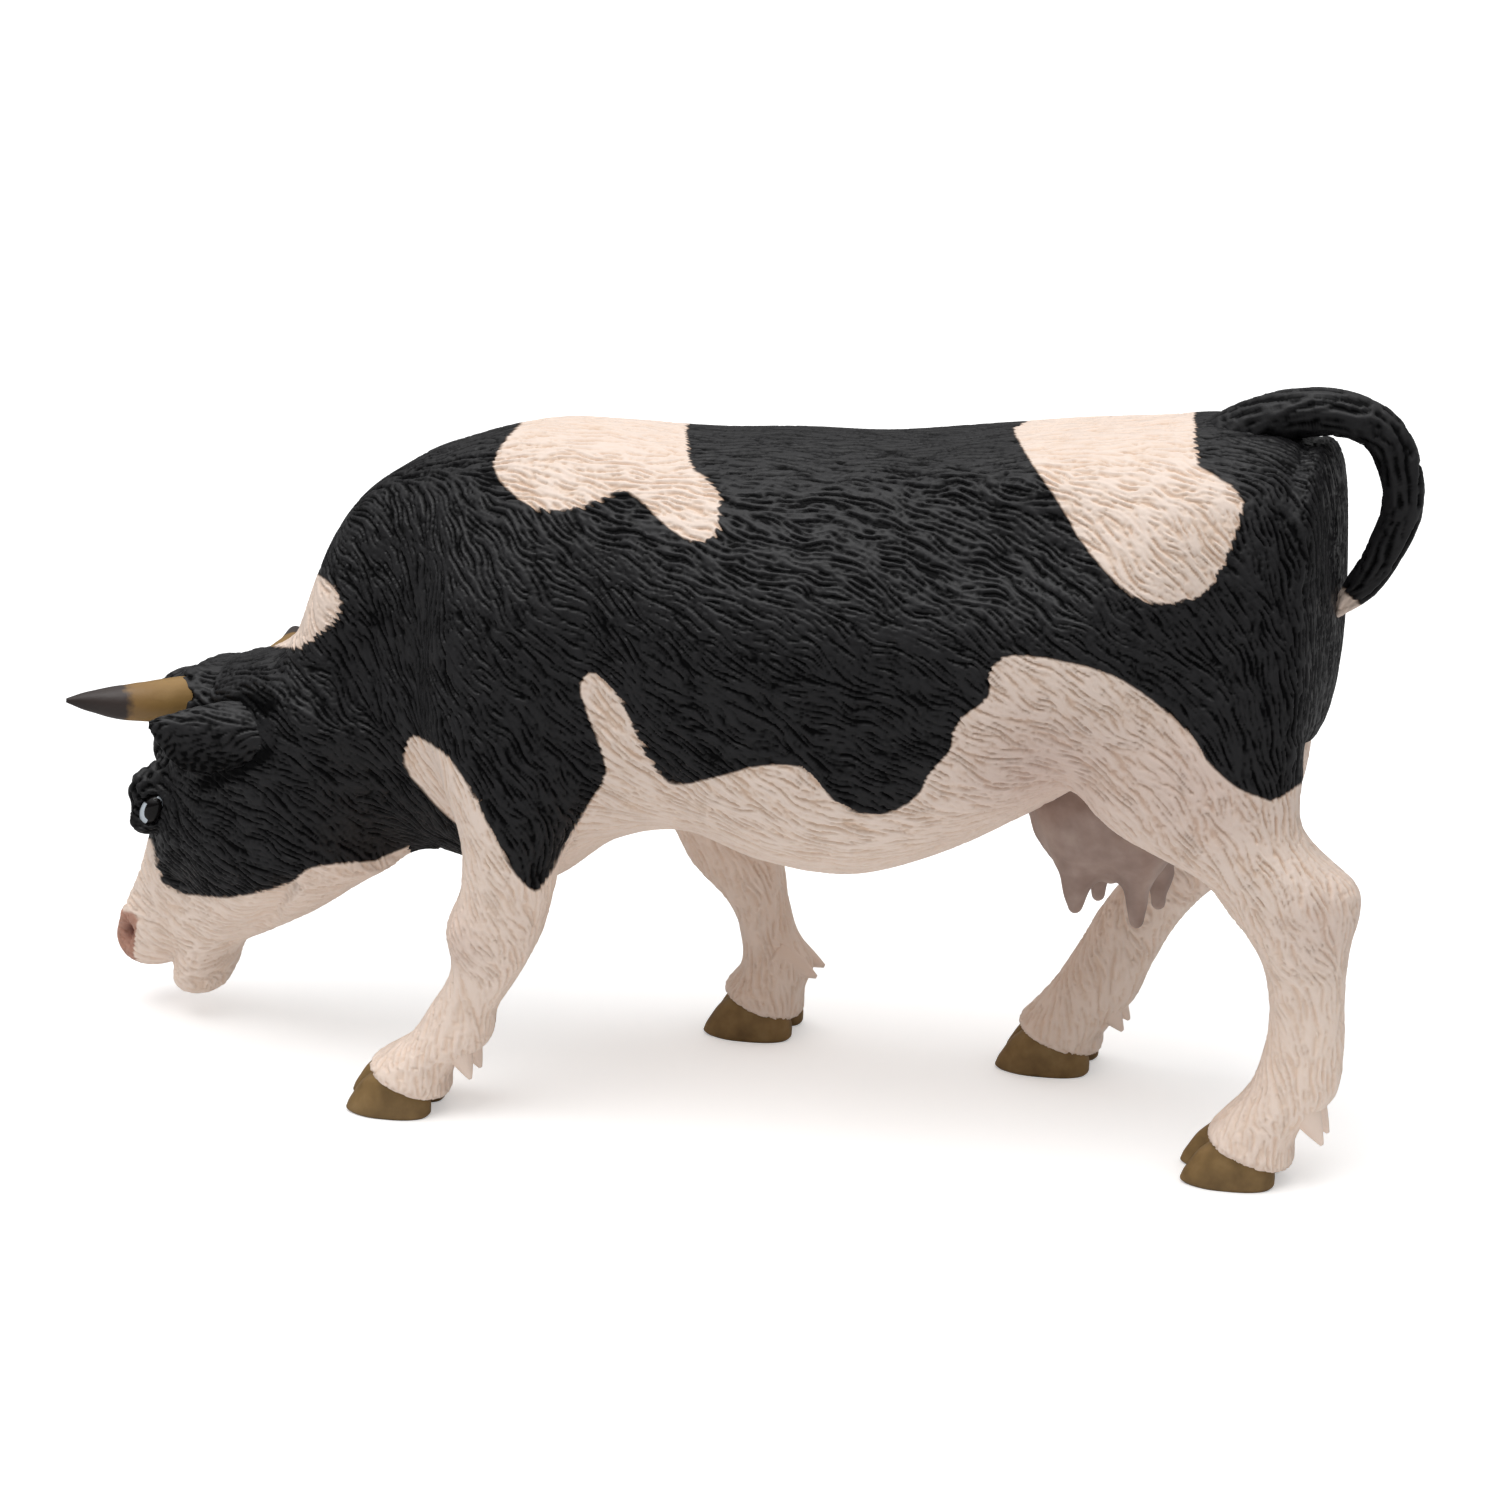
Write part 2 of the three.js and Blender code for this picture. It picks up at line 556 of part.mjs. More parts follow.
// The ear's own frame: its length along +Z out of the head, its hollow facing +X
function earPlace(side) {
  const length = new THREE.Vector3(0, side * Math.cos(EAR_SWEEP), Math.sin(EAR_SWEEP));
  const nose = AXIS_X.clone();
  const facing = nose.applyAxisAngle(length, -side * EAR_TWIST);
  const width = new THREE.Vector3().crossVectors(length, facing);
  const place = new THREE.Object3D();
  place.quaternion.setFromRotationMatrix(new THREE.Matrix4().makeBasis(facing, width, length));
  place.position.set(-3.2, side * (HEAD_HALF_WIDTH - 0.2), -1.6);
  place.updateMatrix();
  return place;
}

// A leaf: slices along the ear, widest near its middle
function earLeafGeometry(scale, grow = 0) {
  const rows = [
    [0, 0.62, 0.9],
    [0.2, 0.9, 1],
    [0.45, 1, 1],
    [0.7, 0.84, 0.85],
    [0.9, 0.46, 0.6],
    [1, 0.12, 0.2],
  ];
  const rings = smoothRows(rows).map(([along, width, thick]) => {
    const halfThick = (EAR_THICKNESS / 2) * thick * scale + grow;
    const halfWide = EAR_HALF_WIDTH * width * scale + grow;
    const centre = new THREE.Vector3(0, 0, SEAM_GAP - grow + along * (EAR_LENGTH + grow));
    return ring(centre, AXIS_X, AXIS_Y, halfThick, halfWide, halfWide, SMALL_SIDES);
  });
  return skin(rings);
}

// The leaf with a hollow scooped from its front, on its peg
function earBody() {
  const hollowShift = 0.9;
  const hollowScale = 0.78;
  const leaf = solid(earLeafGeometry(1));
  const hollow = solid(earLeafGeometry(hollowScale).translate(hollowShift, 0, EAR_LENGTH * 0.16));
  const peg = solid(pegGeometry(EAR_PEG_RADIUS, 1, -EAR_PEG_LENGTH, EAR_LENGTH * 0.15));
  return leaf.subtract(hollow).add(peg);
}

// What the ear clears in the pieces round its root: its socket and its leaf
function earToolGeometries(side) {
  const { matrix } = earPlace(side);
  const socketEnd = -EAR_PEG_LENGTH - SOCKET_SPARE_DEPTH;
  const socket = pegGeometry(EAR_PEG_RADIUS + PEG_CLEARANCE, 1, socketEnd, SEAM_GAP);
  return [socket.applyMatrix4(matrix), earLeafGeometry(1, SEAM_GAP).applyMatrix4(matrix)];
}

// Eye, brow ridge and nostril forms of one side of the face, and the curly tuft on the poll
function eyeGeometries(side) {
  const out = HEAD_HALF_WIDTH - EYE_RADIUS * 0.62;
  const eyeRadii = [EYE_RADIUS, EYE_RADIUS * 0.8, EYE_RADIUS * 0.8];
  const eye = ellipsoid([EYE_ALONG, side * out, BROW_RISE - 3], eyeRadii);
  const brow = ellipsoid([EYE_ALONG - 2.6, side * (out - 1.6), BROW_RISE - 1.6], [3.4, 2.6, 2.8]);
  return [eye, brow];
}

function nostrilGeometry(side) {
  const place = [HEAD_LENGTH - 1.9, side * MUZZLE_HALF_WIDTH * 0.62, NOSE_RISE - 2.4];
  return ellipsoid(place, [NOSTRIL_RADIUS * 1.5, NOSTRIL_RADIUS, NOSTRIL_RADIUS]);
}

function headBody() {
  const tuft = ellipsoid([2.4, 0, POLL_RISE - TUFT_RISE], [5.0, 6.2, TUFT_RISE * 2]);
  const forms = [skullGeometry(), jawGeometry(), tuft, ...eyeGeometries(-1), ...eyeGeometries(1)];
  const trimmed = joined(forms).intersect(solid(headSideGeometry(SEAM_GAP)));
  const pegged = trimmed.add(solid(neckPegGeometry(-PEG_ROOT, NECK_PEG_LENGTH)));
  const tools = [-1, 1].flatMap((side) => [
    hornGeometry(side, PEG_CLEARANCE),
    ...earToolGeometries(side),
    nostrilGeometry(side),
  ]);
  return cutBy(pegged, tools.map(solid));
}

// The tail's centre line: out of the tail head, over an arch, and down on to the rump
function tailCurve() {
  const archTop = TAIL_HEAD_HEIGHT + TAIL_ARCH_RISE;
  const farX = RUMP_X + TAIL_ARCH_REACH;
  const points = [
    [TAIL_HEAD_X - 4, TAIL_HEAD_HEIGHT - 4.6],
    [TAIL_HEAD_X + 1, TAIL_HEAD_HEIGHT - 0.4],
    [TAIL_HEAD_X + 5, archTop - 0.4],
    [RUMP_X - 1, archTop],
    [RUMP_X + 2.8, archTop - 1.2],
    [farX, archTop - 5.4],
    [farX, archTop - 9.4],
    [farX - 1.6, RUMP_HEIGHT + 6.0],
    [RUMP_X + 2.2, RUMP_HEIGHT + 1.6],
    [RUMP_X - 3, RUMP_HEIGHT - 3.4],
  ];
  return new THREE.CatmullRomCurve3(points.map(([x, z]) => new THREE.Vector3(x, 0, z)));
}

function tailGeometry(grow = 0) {
  const root = TAIL_RADIUS + 0.6;
  const radii = [root, root, TAIL_RADIUS, TAIL_RADIUS, TAIL_RADIUS, TAIL_TIP_RADIUS, TAIL_TIP_RADIUS];
  return taperedTube(tailCurve(), radii, TAIL_STEPS, SMALL_SIDES, grow);
}

// The udder: a round bag let into the belly, with four teats
const UDDER_TOP = FLANK_HEIGHT - 4.4;

function udderBagGeometry(grow = 0) {
  const radii = [UDDER_HALF_LENGTH + grow, UDDER_HALF_WIDTH + grow, UDDER_DEPTH + grow];
  return ellipsoid([UDDER_X, 0, UDDER_TOP], radii, LIMB_SIDES);
}

function udderPegGeometry(end, grow = 0) {
  return pegGeometry(UDDER_PEG_RADIUS + grow, 1, 0, end).translate(UDDER_X, 0, UDDER_TOP);
}

function teatGeometry(front, side) {
  const profile = [
    [0, 0],
    [TEAT_RADIUS * 0.6, TEAT_LENGTH * 0.03],
    [TEAT_RADIUS * 0.85, TEAT_LENGTH * 0.15],
    [TEAT_RADIUS * 0.8, TEAT_LENGTH * 0.6],
    [TEAT_RADIUS * 1.1, TEAT_LENGTH * 0.85],
    [TEAT_RADIUS * 1.5, TEAT_LENGTH * 1.26],
    [0, TEAT_LENGTH * 1.3],
  ];
  const teat = new THREE.LatheGeometry(profile.map(([r, z]) => new THREE.Vector2(r, z)), SMALL_SIDES);
  const tip = UDDER_TOP - UDDER_DEPTH * 0.84 - TEAT_LENGTH;
  return teat.rotateX(Math.PI / 2).translate(UDDER_X + front * TEAT_SPREAD_X, side * TEAT_SPREAD_Y, tip);
}

function udderBody() {
  const teats = [-1, 1].flatMap((front) => [-1, 1].map((side) => teatGeometry(front, side)));
  return joined([udderBagGeometry(), udderPegGeometry(UDDER_DEPTH + UDDER_PEG_LENGTH), ...teats]);
}

// Assembly

const cow = new THREE.Group();

const headGroup = new THREE.Group();
headGroup.position.copy(HEAD_AT);
headGroup.rotation.set(0, HEAD_PITCH, Math.PI - HEAD_TURN, "ZYX");
headGroup.updateMatrix();
cow.add(headGroup);

const widthsOf = (name) => (name.startsWith("foreleg") ? FORE_HALF_WIDTHS : HIND_HALF_WIDTHS);
const muscleOf = (name) => (name.startsWith("foreleg") ? SHOULDER_MUSCLE : HAUNCH_MUSCLE);

const udderPocket = solid(udderBagGeometry(SEAM_GAP));
const neckSocket = neckPegGeometry(-PEG_ROOT, NECK_PEG_LENGTH + SOCKET_SPARE_DEPTH, PEG_CLEARANCE);
const trunkForms = [trunkGeometry()];
const trunkTools = [
  solid(headSideGeometry(0).applyMatrix4(headGroup.matrix)),
  solid(neckSocket.applyMatrix4(headGroup.matrix)),
  solid(tailGeometry(PEG_CLEARANCE)),
  udderPocket,
  solid(udderPegGeometry(UDDER_DEPTH + UDDER_PEG_LENGTH + SOCKET_SPARE_DEPTH, PEG_CLEARANCE)),
];
for (const side of [-1, 1]) {
  const clearances = [hornGeometry(side, PEG_CLEARANCE), ...earToolGeometries(side)];
  trunkTools.push(...clearances.map((tool) => solid(tool.applyMatrix4(headGroup.matrix))));
}
for (const [name, stride] of Object.entries(STRIDES)) {
  trunkForms.push(legRootGeometry(stride, widthsOf(name)[0], muscleOf(name)));
  trunkTools.push(...legTools(stride, widthsOf(name)));
  const leg = legBody(stride, widthsOf(name)).subtract(udderPocket);
  cow.add(meshOf(name, leg, CREAM_COAT));
}
cow.add(meshOf("torso", cutBy(joined(trunkForms), trunkTools), BLACK_COAT));
cow.add(meshOf("tail", solid(tailGeometry()), BLACK_COAT));
cow.add(meshOf("udder", udderBody(), UDDER_PINK));

headGroup.add(meshOf("head", headBody(), BLACK_COAT));
for (const [label, side] of [["left", 1], ["right", -1]]) {
  headGroup.add(meshOf(`horn_${label}`, solid(hornGeometry(side)), HORN_TAN));
  const ear = meshOf(`ear_${label}`, earBody(), BLACK_COAT);
  const place = earPlace(side);
  ear.position.copy(place.position);
  ear.rotation.copy(place.rotation);
  headGroup.add(ear);
}

// The figure's origin goes to the middle of its footprint, on the ground.
const reach = new THREE.Box3().setFromObject(cow, true);
const middle = reach.getCenter(new THREE.Vector3());
cow.position.set(-middle.x, -middle.y, -reach.min.z);

const figurine = new THREE.Group();
figurine.add(cow);

export default figurine;
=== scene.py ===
# %% [markdown]
# # A moulded and painted cow figurine
#
# The real object is a soft-vinyl farm figure: a torso, a head, two horns, two ears, four legs, a tail and
# an udder, cast apart and glued, then painted by hand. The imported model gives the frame: every piece made
# here lies where its solid lies and takes the solid's place in the pictures.
#
# Shapes are worked out in millimetres in the cow's own frame: x runs from head to tail, y = 0 is the
# middle plane, the camera's side is -y, and the soles stand on z = 0.

# %% The frame
import bpy
import numpy as np
from mathutils import Matrix


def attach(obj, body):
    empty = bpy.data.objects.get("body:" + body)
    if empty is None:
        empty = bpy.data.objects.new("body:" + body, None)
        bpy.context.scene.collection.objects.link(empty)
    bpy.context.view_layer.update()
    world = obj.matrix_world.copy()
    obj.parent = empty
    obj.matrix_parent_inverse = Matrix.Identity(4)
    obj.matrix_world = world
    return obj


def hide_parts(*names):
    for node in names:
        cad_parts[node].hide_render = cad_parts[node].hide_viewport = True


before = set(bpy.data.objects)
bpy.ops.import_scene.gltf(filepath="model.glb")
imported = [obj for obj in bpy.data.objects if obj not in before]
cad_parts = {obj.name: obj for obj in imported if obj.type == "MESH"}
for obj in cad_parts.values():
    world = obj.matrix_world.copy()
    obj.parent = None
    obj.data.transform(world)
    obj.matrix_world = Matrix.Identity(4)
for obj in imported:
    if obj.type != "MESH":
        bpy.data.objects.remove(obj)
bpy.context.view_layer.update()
MIDDLE_SHIFT = np.array([1.3446, 0.0, 0.0])    # from the cow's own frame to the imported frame, in mm
SEED = np.random.default_rng(20)


def to_frame(points):
    """Millimetres in the cow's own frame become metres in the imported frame."""
    return (points + MIDDLE_SHIFT) / 1000.0


# %% [markdown]
# ## The camera
#
# The photograph looks at the cow's left side from a little behind and above. The four hooves stand on one
# level plane, so their pixels give the turn, the tilt and the scale of the view. The same numbers are used
# later to lay the painted patches on the coat, so they are named here once.

# %% The camera
PHOTO_PIXELS = 1500
VIEW_TURN = np.radians(15.0)
VIEW_TILT = np.radians(18.0)
VIEW_DISTANCE = 600.0
PIXELS_PER_MM = 9.68
VIEW_TARGET = np.array([0.0, 0.0, 36.9])
SENSOR = 36.0

to_camera = np.array([np.sin(VIEW_TURN) * np.cos(VIEW_TILT), -np.cos(VIEW_TURN) * np.cos(VIEW_TILT),
                      np.sin(VIEW_TILT)])
view_right = np.array([np.cos(VIEW_TURN), np.sin(VIEW_TURN), 0.0])
view_up = np.cross(to_camera, view_right)


def photo_pixels(points):
    """A point's pixel: its sideways and upward distance from the target, over its depth, times the lens."""
    away = points - VIEW_TARGET
    lens = PIXELS_PER_MM * VIEW_DISTANCE / (VIEW_DISTANCE - away @ to_camera)
    middle = PHOTO_PIXELS / 2
    return np.stack([middle + lens * (away @ view_right), middle - lens * (away @ view_up)], axis=1)


lens_data = bpy.data.cameras.new("photo_camera")
lens_data.sensor_width = SENSOR
lens_data.lens = SENSOR * PIXELS_PER_MM * VIEW_DISTANCE / PHOTO_PIXELS
lens_data.clip_start = 0.01
camera = bpy.data.objects.new("photo_camera", lens_data)
camera_place = np.eye(4)
camera_place[:3, :3] = np.stack([view_right, view_up, to_camera], axis=1)
camera_place[:3, 3] = to_frame(VIEW_TARGET + VIEW_DISTANCE * to_camera)
camera.matrix_world = Matrix(camera_place.tolist())
bpy.context.scene.collection.objects.link(camera)
bpy.context.scene.camera = camera
print("lens in mm:", round(lens_data.lens, 2))

# %% [markdown]
# ## Clay made of distances
#
# A moulded animal has no edges between its muscles: the thigh flows into the belly. A grid that is bent
# round one axis can't branch, so the body is described as a field instead: a number for every point of
# space, negative inside the clay and positive outside. Lofted rows give the trunk and the limbs, a smooth
# minimum melts them together, and small round bumps and dents model bones and hollows.


# %% Distances
def along(rows, at):
    """A smooth curve through rows: the first column is the place, the others ease between rows as cubics."""
    rows = np.asarray(rows, float)
    place, values = rows[:, 0], rows[:, 1:]
    slope = np.gradient(values, place, axis=0)
    at = np.clip(at, place[0], place[-1])
    row = np.clip(np.searchsorted(place, at) - 1, 0, len(place) - 2)
    span = (place[row + 1] - place[row])[..., None]
    t = (at - place[row])[..., None] / span
    ease = t * t * (3 - 2 * t)
    eased = values[row] * (1 - ease) + values[row + 1] * ease
    eased = eased + span * t * (1 - t) * (slope[row] * (1 - t) - slope[row + 1] * t)
    return np.moveaxis(eased, -1, 0).astype(np.float32)


def melt(first, second, width):
    """The smaller of two distances, rounded over where they differ by less than the width."""
    near = np.maximum(width - np.abs(first - second), 0) / width
    return np.minimum(first, second) - near * near * width / 4


def trim(first, second, width):
    """The larger of two distances, rounded: what is left of one body inside another."""
    return -melt(-first, -second, width)


def oval_slice(across, up, half, above, below, power):
    """Distance to a rounded oval: the radius, less the radius at which the oval is met on that ray."""
    reach = np.where(up > 0, above, below)
    share = ((np.abs(across) / half) ** power + (np.abs(up) / reach) ** power + 1e-6) ** (1 / power)
    radius = np.sqrt(across * across + up * up + 1e-6)
    return radius - radius / share


def bump(x, y, z, centre, spread):
    """A round hump: one at its centre, falling off as a bell curve over the three spreads."""
    cx, cy, cz = centre
    sx, sy, sz = spread
    return np.exp(-((x - cx) / sx) ** 2 - ((y - cy) / sy) ** 2 - ((z - cz) / sz) ** 2)


def ball(x, y, z, centre, radii):
    """Distance to an oval ball, scaled so that it is true near the skin."""
    cx, cy, cz = centre
    rx, ry, rz = radii
    size = np.sqrt(((x - cx) / rx) ** 2 + ((y - cy) / ry) ** 2 + ((z - cz) / rz) ** 2 + 1e-6)
    return (size - 1) * min(radii)


def ramp(value, start, end):
    """From zero at the start to one at the end, eased at both."""
    t = np.clip((value - start) / (end - start), 0, 1)
    return t * t * (3 - 2 * t)


print("distance helpers ready")

# %% [markdown]
# ## Trunk and limbs
#
# The trunk is a row of upright ovals from the nape to the rump. Each limb is a stack of level ovals that
# starts at the hair above the hoof and goes up through the muscle into the trunk. The rows repeat the
# measures of the solids, so the clay lies on them; the extra bumps are the bones that show through a
# milking cow's coat: shoulder blade, hips, pin bones, stifle, knees and hocks.

# %% Trunk rows
TRUNK = [    # x, top, bottom, half width
    (-57, 37.8, 34.2, 5.5), (-50, 42.4, 28.2, 7.5), (-44, 57.5, 25.0, 9.4), (-36, 65.3, 24.6, 10.7),
    (-29, 68.4, 23.4, 13.5), (-21, 70.4, 22.0, 16.5), (-13, 70.4, 27.4, 18.3), (-5, 70.2, 29.4, 19.7),
    (4, 70.7, 27.0, 21.1), (13, 70.8, 26.4, 21.5), (22, 71.5, 29.4, 20.9), (31, 72.7, 34.4, 19.8),
    (40, 74.2, 40.0, 19.0), (50, 75.2, 44.0, 17.0), (57, 73.6, 43.4, 13.0), (60.2, 70.6, 47.0, 9.0),
    (61, 66.0, 52.0, 5.0)]
TRUNK_WIDEST = 0.46    # where a slice is widest, as a share of its height
TRUNK_POWER = 2 / 0.86
TRUNK_MIDDLE, TRUNK_REACH, TRUNK_ROUND = 2.0, 58.6, 3.0    # x of the middle, half length, rounded ends

# Bones and hollows: centre on the cow's left (mirrored to the right), spreads, height of the bump
BODY_BUMPS = [
    ((33, -10.5, 71), (7, 5, 3.6), 0.8),         # hip bone
    ((23, -9.5, 71), (9, 4.5, 3.0), 0.7),        # edge of the loin
    ((57, -7.5, 69.5), (4.5, 4, 4), 0.9),        # pin bone
    ((30, -16.5, 64.5), (9, 6.5, 5.5), -2.0),    # hollow under the hip
    ((40, -18.5, 55), (8, 6, 8), 0.7),           # thigh
    ((31, -18.5, 40), (6, 6, 7), 0.9),           # stifle
    ((49.5, -17, 57), (4.6, 6, 9), -1.2),        # furrow behind the thigh
    ((57.5, -13.5, 55), (2.6, 5, 11), 0.6),      # rear edge of the thigh
    ((-28, -14.0, 57), (3.2, 6, 11), 1.3),       # front edge of the shoulder blade
    ((-20, -17, 56), (5, 6, 5), 0.5),            # shoulder blade
    ((-34, -10, 42), (5, 6, 5), 0.9),            # point of the shoulder
    ((-12, -18.5, 52), (4.4, 6, 10), -0.9),      # hollow behind the shoulder
    ((-15.5, -20, 40), (4.5, 5, 7), -0.8),       # elbow
    ((-39, -11, 45.5), (4.5, 5, 5.5), -1.0),     # hollow of the neck behind the ear
    ((-38, -9.5, 57), (6, 5, 4.5), -0.6),        # neck side
    ((3, -20.5, 56), (13, 6, 7), 0.7),           # ribs
    ((15, -22, 45), (9, 6, 6), -0.8),            # turn of the belly
    ((-45, -8, 33), (6, 6, 7), 0.7),             # jowl muscle
    ((-43.5, -8, 39.5), (4, 5, 4.5), 0.7)]       # neck under the ear


def trunk_distance(x, y, z):
    """Upright ovals, widest a little below the middle, rounded off at both ends."""
    top, bottom, half = along(TRUNK, x)
    widest = bottom + TRUNK_WIDEST * (top - bottom)
    sides = oval_slice(y, z - widest, half, top - widest, widest - bottom, TRUNK_POWER)
    return trim(sides, np.abs(x - TRUNK_MIDDLE) - TRUNK_REACH, TRUNK_ROUND)


print("trunk rows:", len(TRUNK), "bumps:", len(BODY_BUMPS))

# %% Limb rows
FORE_WIDTHS = (5.0, 4.7, 4.5, 3.5, 3.2, 4.0, 4.8, 5.2)
HIND_WIDTHS = (6.4, 5.6, 4.8, 3.9, 3.4, 3.6, 4.2, 4.8, 5.2)
# Muscle above the seam: shift along, shift inward, rise, half depth, half width
SHOULDER = ((0.4, 0.8, 6, 7.6, 6.0), (0.2, 2.0, 13, 9.2, 6.4), (1.0, 4.0, 24, 8.4, 6.0),
            (2.0, 7.0, 34, 5, 4))
HAUNCH = ((-2.6, 0, 7, 11.6, 6.8), (-3.4, 0.6, 16, 12, 6.8), (-3, 2, 26, 8, 5), (-2, 4, 33, 4, 3))
# Each limb: its side (y), its toe and heel (x), its half widths, its muscle, and its slices from the seam
# down: x, z, half depth
LIMBS = {
    "foreleg_left": (-15.2, -38.8, -29.6, FORE_WIDTHS, SHOULDER, (
        (-21, 30, 5.2), (-21.6, 25, 4.7), (-22.8, 20.4, 4.6), (-24.2, 15.5, 3.5), (-26.4, 11.8, 3.4),
        (-28.6, 7.8, 4.1), (-32.2, 5, 4.5), (-33, 3.6, 4.7))),
    "foreleg_right": (16.2, -8.9, 0.9, FORE_WIDTHS, SHOULDER, (
        (-11.8, 30, 5.6), (-8.4, 24.2, 5.0), (-5.6, 19, 4.6), (-3.2, 14.3, 3.0), (-2.2, 11, 2.9),
        (-1.5, 7.4, 3.7), (-2.9, 4.8, 4.4), (-3.3, 3.6, 4.7))),
    "hindleg_left": (-12.0, 48.7, 58.4, HIND_WIDTHS, HAUNCH, (
        (50.4, 36.5, 9.6), (56.7, 32.2, 7.2), (59, 28.4, 6.2), (60.2, 24.6, 4.5), (60.7, 19.6, 3.7),
        (60.6, 14.4, 3.9), (59.2, 9.6, 4.3), (56.0, 5.8, 4.4), (55.1, 4.2, 4.7))),
    "hindleg_right": (14.2, 23.7, 33.9, HIND_WIDTHS, HAUNCH, (
        (46.6, 36.5, 9.2), (46.8, 31, 7.4), (45.4, 26.4, 6.0), (42.2, 22.2, 4.9), (38.7, 17.8, 4.4),
        (35.9, 12.8, 4.3), (33.3, 8.4, 4.6), (30.6, 5, 5.0), (29.5, 3.8, 5.2)))}
CORONET_FRONT, CORONET_HEEL = 5.8, 2.0    # height of the hairline over the hoof
HAIRLINE_SLANT = 0.9                      # distance from that slanting line for each mm of height
LIMB_POWER = 2.2
LIMB_TOP_ROUND, HAIRLINE_ROUND = 3.0, 0.9
FORE_MELT, HIND_MELT = 3.0, 4.0           # how widely a limb melts into the trunk


def limb_stack(side_y, widths, muscle, slices):
    """The limb's level ovals from the coronet up into the body: z, x, y, half depth, half width."""
    side = np.sign(side_y)
    low = [(z, x, side_y, deep, wide) for (x, z, deep), wide in zip(slices, widths)]
    x, z, _ = slices[0]
    high = [(z + rise, x + shift, side_y - side * inward, deep, wide)
            for shift, inward, rise, deep, wide in muscle]
    return np.array(sorted(low + high))


LIMB_STACKS = {name: limb_stack(y, widths, muscle, slices)
               for name, (y, _, _, widths, muscle, slices) in LIMBS.items()}


def limb_distance(name, x, y, z):
    """Level ovals, ended below by the sloping line where the hair meets the hoof."""
    toe, heel = LIMBS[name][1:3]
    stack = LIMB_STACKS[name]
    mid_x, mid_y, deep, wide = along(stack, z)
    sides = oval_slice(y - mid_y, x - mid_x, wide, deep, deep, LIMB_POWER)
    hairline = CORONET_HEEL + (CORONET_FRONT - CORONET_HEEL) * (heel - x) / (heel - toe)
    ended = trim(sides, z - stack[-1, 0], LIMB_TOP_ROUND)
    return trim(ended, HAIRLINE_SLANT * (hairline - z), HAIRLINE_ROUND)


# Bones of the limbs: centre, spreads, height
LIMB_BUMPS = [
    ((-26.4, -16.5, 20.6), (2.6, 3.5, 2.8), 0.75),    # knees
    ((-9.6, 17.5, 19.0), (2.6, 3.5, 2.8), 0.7),
    ((-25.2, -15.2, 8.8), (2.2, 3, 2.2), 0.5),        # fetlocks of the forelegs
    ((1.5, 16.2, 8.6), (2.2, 3, 2.2), 0.5),
    ((64.6, -12.0, 31.2), (2.4, 2.6, 2.6), 1.3),      # point and side of the near hock
    ((58.6, -17.0, 27.0), (3.4, 2.4, 4.0), 0.9),
    ((52.0, 14.2, 29.5), (2.4, 2.6, 2.6), 1.2),       # point and side of the far hock
    ((44.5, 19.0, 26.0), (3.4, 2.4, 4.0), 0.8),
    ((62.4, -12.0, 10.4), (2.2, 3, 2.4), 0.5),        # fetlocks of the hind legs
    ((37.4, 14.2, 9.2), (2.2, 3, 2.4), 0.5)]


def bell(value, middle, spread):
    """A bell curve along one axis; three of them multiplied make a round bump."""
    return np.exp(-((value - middle) / spread) ** 2).astype(np.float32)


def body_distance(x, y, z):
    """Trunk and limbs melted together, with the bones raised and the hollows sunk."""
    body = trunk_distance(x, y, z)
    for name in LIMBS:
        body = melt(body, limb_distance(name, x, y, z), HIND_MELT if name.startswith("hind") else FORE_MELT)
    for (cx, cy, cz), (sx, sy, sz), height in BODY_BUMPS:
        across = bell(y, cy, sy) + bell(y, -cy, sy)
        body = body - height * across * (bell(x, cx, sx) * bell(z, cz, sz))
    for (cx, cy, cz), (sx, sy, sz), height in LIMB_BUMPS:
        body = body - height * bell(y, cy, sy) * (bell(x, cx, sx) * bell(z, cz, sz))
    return body


print("limbs:", {name: len(stack) for name, stack in LIMB_STACKS.items()})

# %% [markdown]
# ## The head
#
# The head hangs from the neck, nose down and turned away to the cow's right. It is described in its own
# frame: along the nose, out to its left, and up from the forehead. The skull and the lower jaw are lofts,
# and brows, eyelids, cheeks, nostrils, lips and the curls on the poll are added as balls and dents.

# %% Head rows
HEAD_AT = np.array([-51.6, 0.0, 34.2])
HEAD_PITCH = np.radians(54.0)
HEAD_TURN = np.radians(25.0)
nose_way = np.array([-np.cos(HEAD_PITCH) * np.cos(HEAD_TURN), np.cos(HEAD_PITCH) * np.sin(HEAD_TURN),
                     -np.sin(HEAD_PITCH)])
left_way = np.array([-np.sin(HEAD_TURN), -np.cos(HEAD_TURN), 0.0])
crown_way = np.cross(nose_way, left_way)
HEAD_AXES = np.stack([nose_way, left_way, crown_way])
SKULL = [    # along, top, bottom, half width
    (-9.5, 6, -9, 6.6), (-4, 8.2, -11.5, 7.8), (0, 9.4, -14.4, 8.3), (5, 9.2, -15.2, 8.8),
    (9, 9.2, -14.4, 9.0), (13, 8.2, -12.8, 8.5), (17.5, 6.9, -11.0, 7.1), (20.5, 6.3, -9.4, 6.2),
    (23.6, 5.6, -7.8, 5.5), (26.8, 4.9, -6.4, 5.1), (29.5, 4.4, -5.2, 5.1), (31.5, 4.0, -4.5, 5.0),
    (33.4, 3.6, -3.6, 4.7), (35.2, 2.6, -2.4, 3.9)]
JAW = [
    (1.5, -4, -18.2, 6.0), (8, -3.2, -16.0, 6.4), (13, -3.4, -14.2, 5.6), (19, -3.8, -11.4, 4.7),
    (25, -4.0, -8.9, 3.9), (29.4, -4.8, -9.5, 4.0), (31.8, -5.0, -9.5, 3.6), (33.3, -6.0, -8.2, 2.4)]
